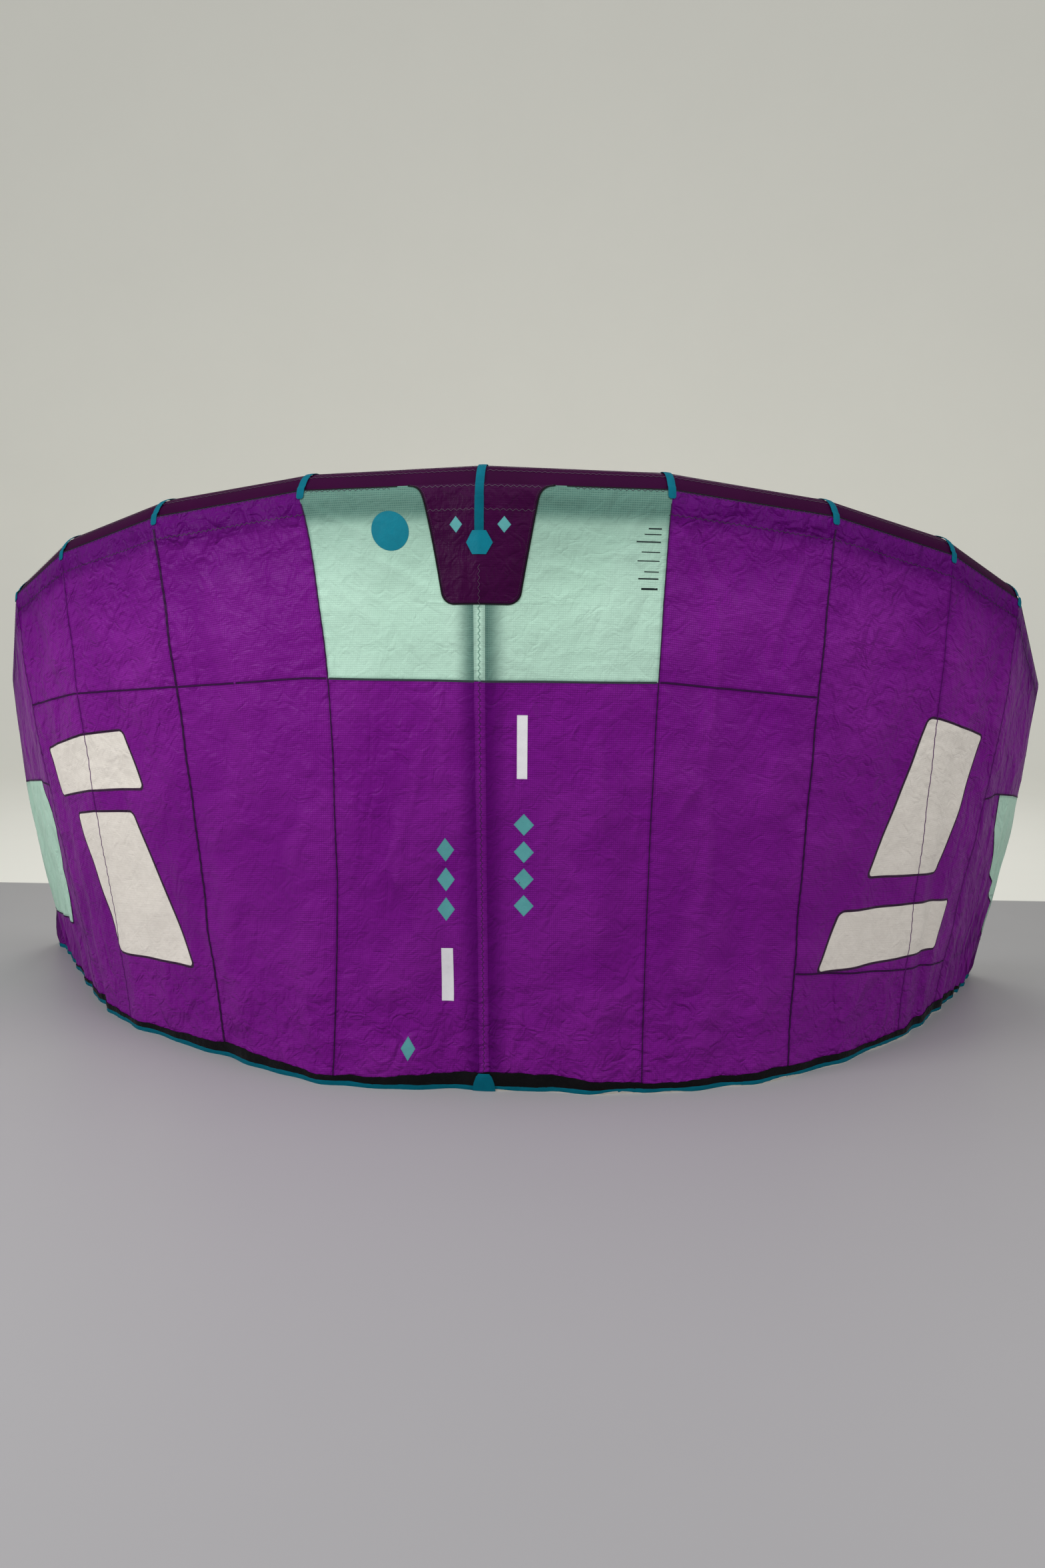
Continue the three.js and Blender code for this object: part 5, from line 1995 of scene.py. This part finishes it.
# Ends along the span and down the rib of the bare labels.
LABELS = {"label_right": (0.21, 0.27, 0.345, 0.449), "label_left": (-0.28, -0.2, 0.743, 0.84)}


@dataclass
class CentreTrim(Part):
    """Trims near the middle: strut strips, round patch, bare labels and plain printed marks."""

    strip_width: float = 0.032
    disc: Span = (-0.51, 0.052)
    disc_radius: float = 0.055
    rows_end: float = 0.96
    print_thick: float = 0.0002

    def build(self) -> None:
        """Lays the trims on the canopy."""
        self._strip("strut_strip_mint", 0.17, 0.289, Finish.MINT_CLOTH, Finish.TEAL_THREAD)
        self._strip("strut_strip_purple", 0.291, 0.974, Finish.PURPLE_CLOTH, Finish.DARK_THREAD)
        self._disc()
        for name, (u1, u2, q1, q2) in LABELS.items():
            self.shop.cut(name, rectangle(u1, u2, q1, q2), (6, 14), Finish.WHITE_LABEL, lift=TAPE)
        for side, u, low, high, count in PRINT_COLUMNS:
            for k in range(count):
                middle = low + (k + 0.5) * (high - low) / count
                self._lozenge(f"print_{side}_{k + 1}", u, middle, 0.06, (high - low) / (count * 1.25))
        self._lozenge("print_small", -0.49, 0.925, 0.048, 0.045)
        for side, word in SIDES.items():
            self._lozenge(f"print_patch_{word}", side * 0.13, 0.045, 0.036, 0.026, TAPE_OUT + 0.00045)
        for k, (q, wide, high) in enumerate(PRINT_ROWS):
            line = self.shop.laid(np.linspace(self.rows_end - wide, self.rows_end, 9), q)
            self.shop.ribbon(f"print_row_{k + 1}", *line, high, Finish.DARK_PRINT, (PRINT_IN, TAPE_IN + 0.00015))

    def _strip(self, name: str, top: float, bottom: float, finish: Finish, thread: Finish) -> None:
        """Strip over the strut's seam, with a zigzag row down its middle.

        Args:
            name: the piece's name.
            top: q of its upper end.
            bottom: q of its lower end.
            finish: its finish.
            thread: its stitches' finish.
        """
        half = self.strip_width / 2 / self.form.gore
        count = max(8, round((bottom - top) * self.form.chord / 0.0105))
        self.shop.cut(name, rectangle(-half, half, top, bottom), (4, count), finish, lift=TAPE)
        q = np.linspace(top + 0.003, bottom - 0.003, count * 2)
        self.shop.row(np.zeros_like(q), q, thread, lift=TAPE_OUT)

    def _disc(self) -> None:
        """Round patch; the square grid is drawn out to a circle."""
        u, q = self.disc
        radius, gore, rib = self.disc_radius, self.form.gore, self.form.rib_at(u)

        def place(s: Array, t: Array) -> Pair:
            """Maps the square onto the disc.

            Args:
                s: places across the grid, from 0 to 1.
                t: places down the grid, from 0 to 1.

            Returns:
                u and q at each place of the grid.
            """
            a, b = 2 * s - 1, 2 * t - 1
            x, y = a * np.sqrt(1 - b * b / 2), b * np.sqrt(1 - a * a / 2)
            return u + x * radius / gore, q + y * radius / rib

        self.shop.cut("round_patch", place, (20, 20), Finish.TEAL_PATCH, lift=TAPE)

    def _lozenge(self, name: str, u: float, q: float, wide: float, tall: float, lift: float = PRINT_IN) -> None:
        """Plain printed lozenge; the square grid stands on a corner.

        Args:
            name: the piece's name.
            u: its middle along the span.
            q: its middle down the rib.
            wide: half its width, in gores.
            tall: its height, as a part of the rib.
            lift: height of its inner face in metres.
        """

        def place(s: Array, t: Array) -> Pair:
            """Maps the square onto the lozenge."""
            return u + (s + t - 1) * wide, q + (t - s) * tall / 2

        self.shop.cut(name, place, (10, 10), Finish.MINT_PRINT, lift=(lift, lift + self.print_thick))


@dataclass
class Hem(Part):
    """The black band and teal binding along the floor, and the pale edge folded out under the binding."""

    cell: float = 0.008

    def build(self) -> None:
        """Makes both strips on both sides."""
        for side, word in SIDES.items():
            self._strip(f"hem_band_{word}", side, 5.58, (0.0016, 0.0032), Finish.BLACK_HEM)
            self._strip(f"hem_binding_{word}", side, 7.68, (0.0018, 0.0046), Finish.TEAL_TAPE)
        self._strip("hem_fold_right", 1, 5.2, (0.0048, 0.0056), Finish.PALE_EDGE)

    @staticmethod
    def _edges(u: Array, finish: Finish) -> Pair:
        """Heights of a strip's lower and upper edge, both a little uneven.

        Args:
            u: places along the span.
            finish: the strip's finish, which tells which strip it is.

        Returns:
            The heights of the lower and the upper edge in metres.
        """
        x = u * GORE_WIDTH
        uneven = wave(x, 0.0028, 0.21, 1.3) + wave(x, 0.0018, 0.083) + wave(x, 0.001, 0.031)
        if finish is Finish.BLACK_HEM:
            top = np.interp(u, *zip(*BAND_TOPS)) * MM + 0.7 * uneven
            return BINDING_HEIGHT + 0.0004 + 0.35 * uneven - 0.0012, top
        if finish is Finish.PALE_EDGE:
            return np.zeros_like(u), np.clip(2.6 + wave(x, 3, 0.47, 2.4) + wave(x, 2.6, 0.171, 0.4), 0.7, 8.5) * MM
        return np.zeros_like(u), BINDING_HEIGHT + 0.35 * uneven

    def _strip(self, name: str, side: int, end: float, lifts: Span, finish: Finish) -> None:
        """A crinkled strip along the hem from the middle to the tip.

        Args:
            name: the piece's name.
            side: -1 for the left, 1 for the right.
            end: the outer end's place along the span.
            lifts: heights of its two faces over the cloth.
            finish: its finish.
        """
        form, fold = self.form, finish is Finish.PALE_EDGE
        line = side * np.linspace(0.0004, end, round(form.width(0, side * end, form.hem_run) / self.cell) + 1)
        low, top = (edge[:, None] for edge in self._edges(line, finish))
        t = np.linspace(0, 1, 5)
        z = low + (top - low) * t
        u = np.broadcast_to(line[:, None], z.shape)
        base = self.shop.laid(u, form.level_at(u, z))[0]
        base[..., 2] = z
        out = form.outward(u, flat=True)
        x = u[:, :1] * GORE_WIDTH
        crush = wave(x, 0.0011, 0.019, 2.0 * np.sin(x * 31)) + wave(x, 0.0016, 0.047, 3 * np.sin(x * 9))
        rise = np.abs(crush) * np.sin(np.pi * np.clip(z / BINDING_HEIGHT if fold else t, 0.1, 0.9))
        over = 0.001 if finish is Finish.BLACK_HEM else 0.0
        inner, outer = (base + out * (lift + rise + over)[..., None] for lift in lifts)
        weave = np.stack([np.broadcast_to(form.between(form.hem_run, line)[:, None], z.shape), z], -1)
        piece = closed_sheet(name + "_cloth", inner, outer, {"weave": weave}, {})
        if not fold:
            self.shop.declare(piece, outer)
        dress(piece, finish, *([] if fold else [name]))


# Place, direction, size and power of each soft light.
LIGHTS = {
    "window_light": ((-4.2, -3.4, 3.0), (0.72, 0.6, -0.42), (1.8, 1.6), 115),
    "side_light": ((4.4, -3.6, 2.9), (-0.72, 0.6, -0.42), (2.6, 2.0), 60),
    "back_light": ((0.0, 5.2, 3.4), (0, -0.85, -0.5), (4.0, 2.0), 70),
    "ceiling_light": ((0.2, -1.8, 3.9), (0, 0.3, -1), (5.0, 3.0), 70),
}


@dataclass
class Studio:
    """Pale floor, wall, soft lights and the camera."""

    shift: Array
    lens: float = 28.01
    place: tuple[float, float, float] = (0.329, -3.548, 1.423)
    ahead: tuple[float, float, float] = (-0.0605, 0.9891, -0.1343)
    roll: float = 0.0047
    half: float = 9.0
    wall: float = 2.72
    sweep: float = 2.5  # radius of the backdrop's curve up from the floor
    sweep_from: float = 6.5

    def build(self) -> None:
        """Sets up everything round the kite."""
        wall, radius = self.wall + float(self.shift[1]), self.sweep
        turns = np.linspace(0.1, np.pi / 2, 16)
        curve = [(self.sweep_from + radius * math.sin(a), radius - radius * math.cos(a)) for a in turns]
        self._plain("studio_floor", ((-self.half, 0.0), (wall, 0.0)), (0.44, 0.43, 0.435), 0.5)
        line = [(wall, 0.0), (self.sweep_from, 0.0), *curve, (self.half, 8.0)]
        self._plain("studio_backdrop", line, (0.8, 0.79, 0.72), 0.9, 0.24)
        for name, (place, ahead, size, power) in LIGHTS.items():
            data = bpy.data.lights.new(name, "AREA")
            data.shape, data.size, data.size_y, data.energy = "RECTANGLE", *size, power
            lamp = add_object(name, data)
            lamp.location = place
            lamp.rotation_euler = Vector(ahead).to_track_quat("-Z", "Y").to_euler()
        world = bpy.data.worlds.new("soft room")
        world.use_nodes = True
        background = world.node_tree.nodes["Background"]
        background.inputs["Color"].default_value = (0.93, 0.95, 0.96, 1)
        background.inputs["Strength"].default_value = 0.36
        bpy.context.scene.world = world
        self._camera()

    def _plain(
        self, name: str, line: Sequence[Span], colour: Colour, rough: float, glow: float = 0.0
    ) -> None:
        """A stage surface with a faintly uneven finish, as wide as the room along a line of depths and heights.

        Args:
            name: the surface's name.
            line: depth and height of each of its edges.
            colour: its colour.
            rough: its roughness.
            glow: strength of its own light.
        """
        mesh = bpy.data.meshes.new(name)
        corners = [(x, y, z) for y, z in line for x in (-self.half, self.half)]
        mesh.from_pydata(corners, [], [(2 * k, 2 * k + 1, 2 * k + 3, 2 * k + 2) for k in range(len(line) - 1)])
        mesh.polygons.foreach_set("use_smooth", [True] * len(mesh.polygons))
        sh = Shader(name)
        tone = sh.noise(sh.place, 0.8, 4.0, 0.6)
        base = sh.uneven(tone, 0.8, 0.5, colour, tuple(c * 0.92 for c in colour))
        matt = (tone - 0.5) * 0.15 + rough
        material = sh.finish(Base_Color=base, Roughness=matt, Emission_Color=colour, Emission_Strength=glow)
        mesh.materials.append(material)
        add_object(name, mesh)

    def _camera(self) -> None:
        """Camera at standing height in front of the kite."""
        data = bpy.data.cameras.new("camera")
        data.lens, data.sensor_width, data.sensor_fit = self.lens, 36.0, "AUTO"
        ahead, turn = Vector(self.ahead).normalized(), (math.cos(self.roll), math.sin(self.roll))
        right = ahead.cross(Vector((0, 0, 1))).normalized()
        up = right.cross(ahead)
        right, up = right * turn[0] + up * turn[1], up * turn[0] - right * turn[1]
        camera = add_object("camera", data)
        axes = Matrix((right, up, -ahead)).transposed().to_4x4()
        camera.matrix_world = Matrix.Translation(Vector(self.place) + Vector(self.shift)) @ axes
        bpy.context.scene.camera = camera
        bpy.context.scene.view_settings.view_transform = "Standard"


def main() -> None:
    """Builds the kite and its surroundings in order."""
    logging.basicConfig(level=logging.INFO, format="%(message)s")
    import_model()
    form = KiteForm()
    shop = Workshop(form, Relief(form), Stitcher())
    Studio(form.shift).build()
    for part in (Tubes, Canopy, Tapes, CentreTrim, Hem):
        part(shop).build()
    shop.stitcher.sew()


if __name__ == "__main__":
    main()
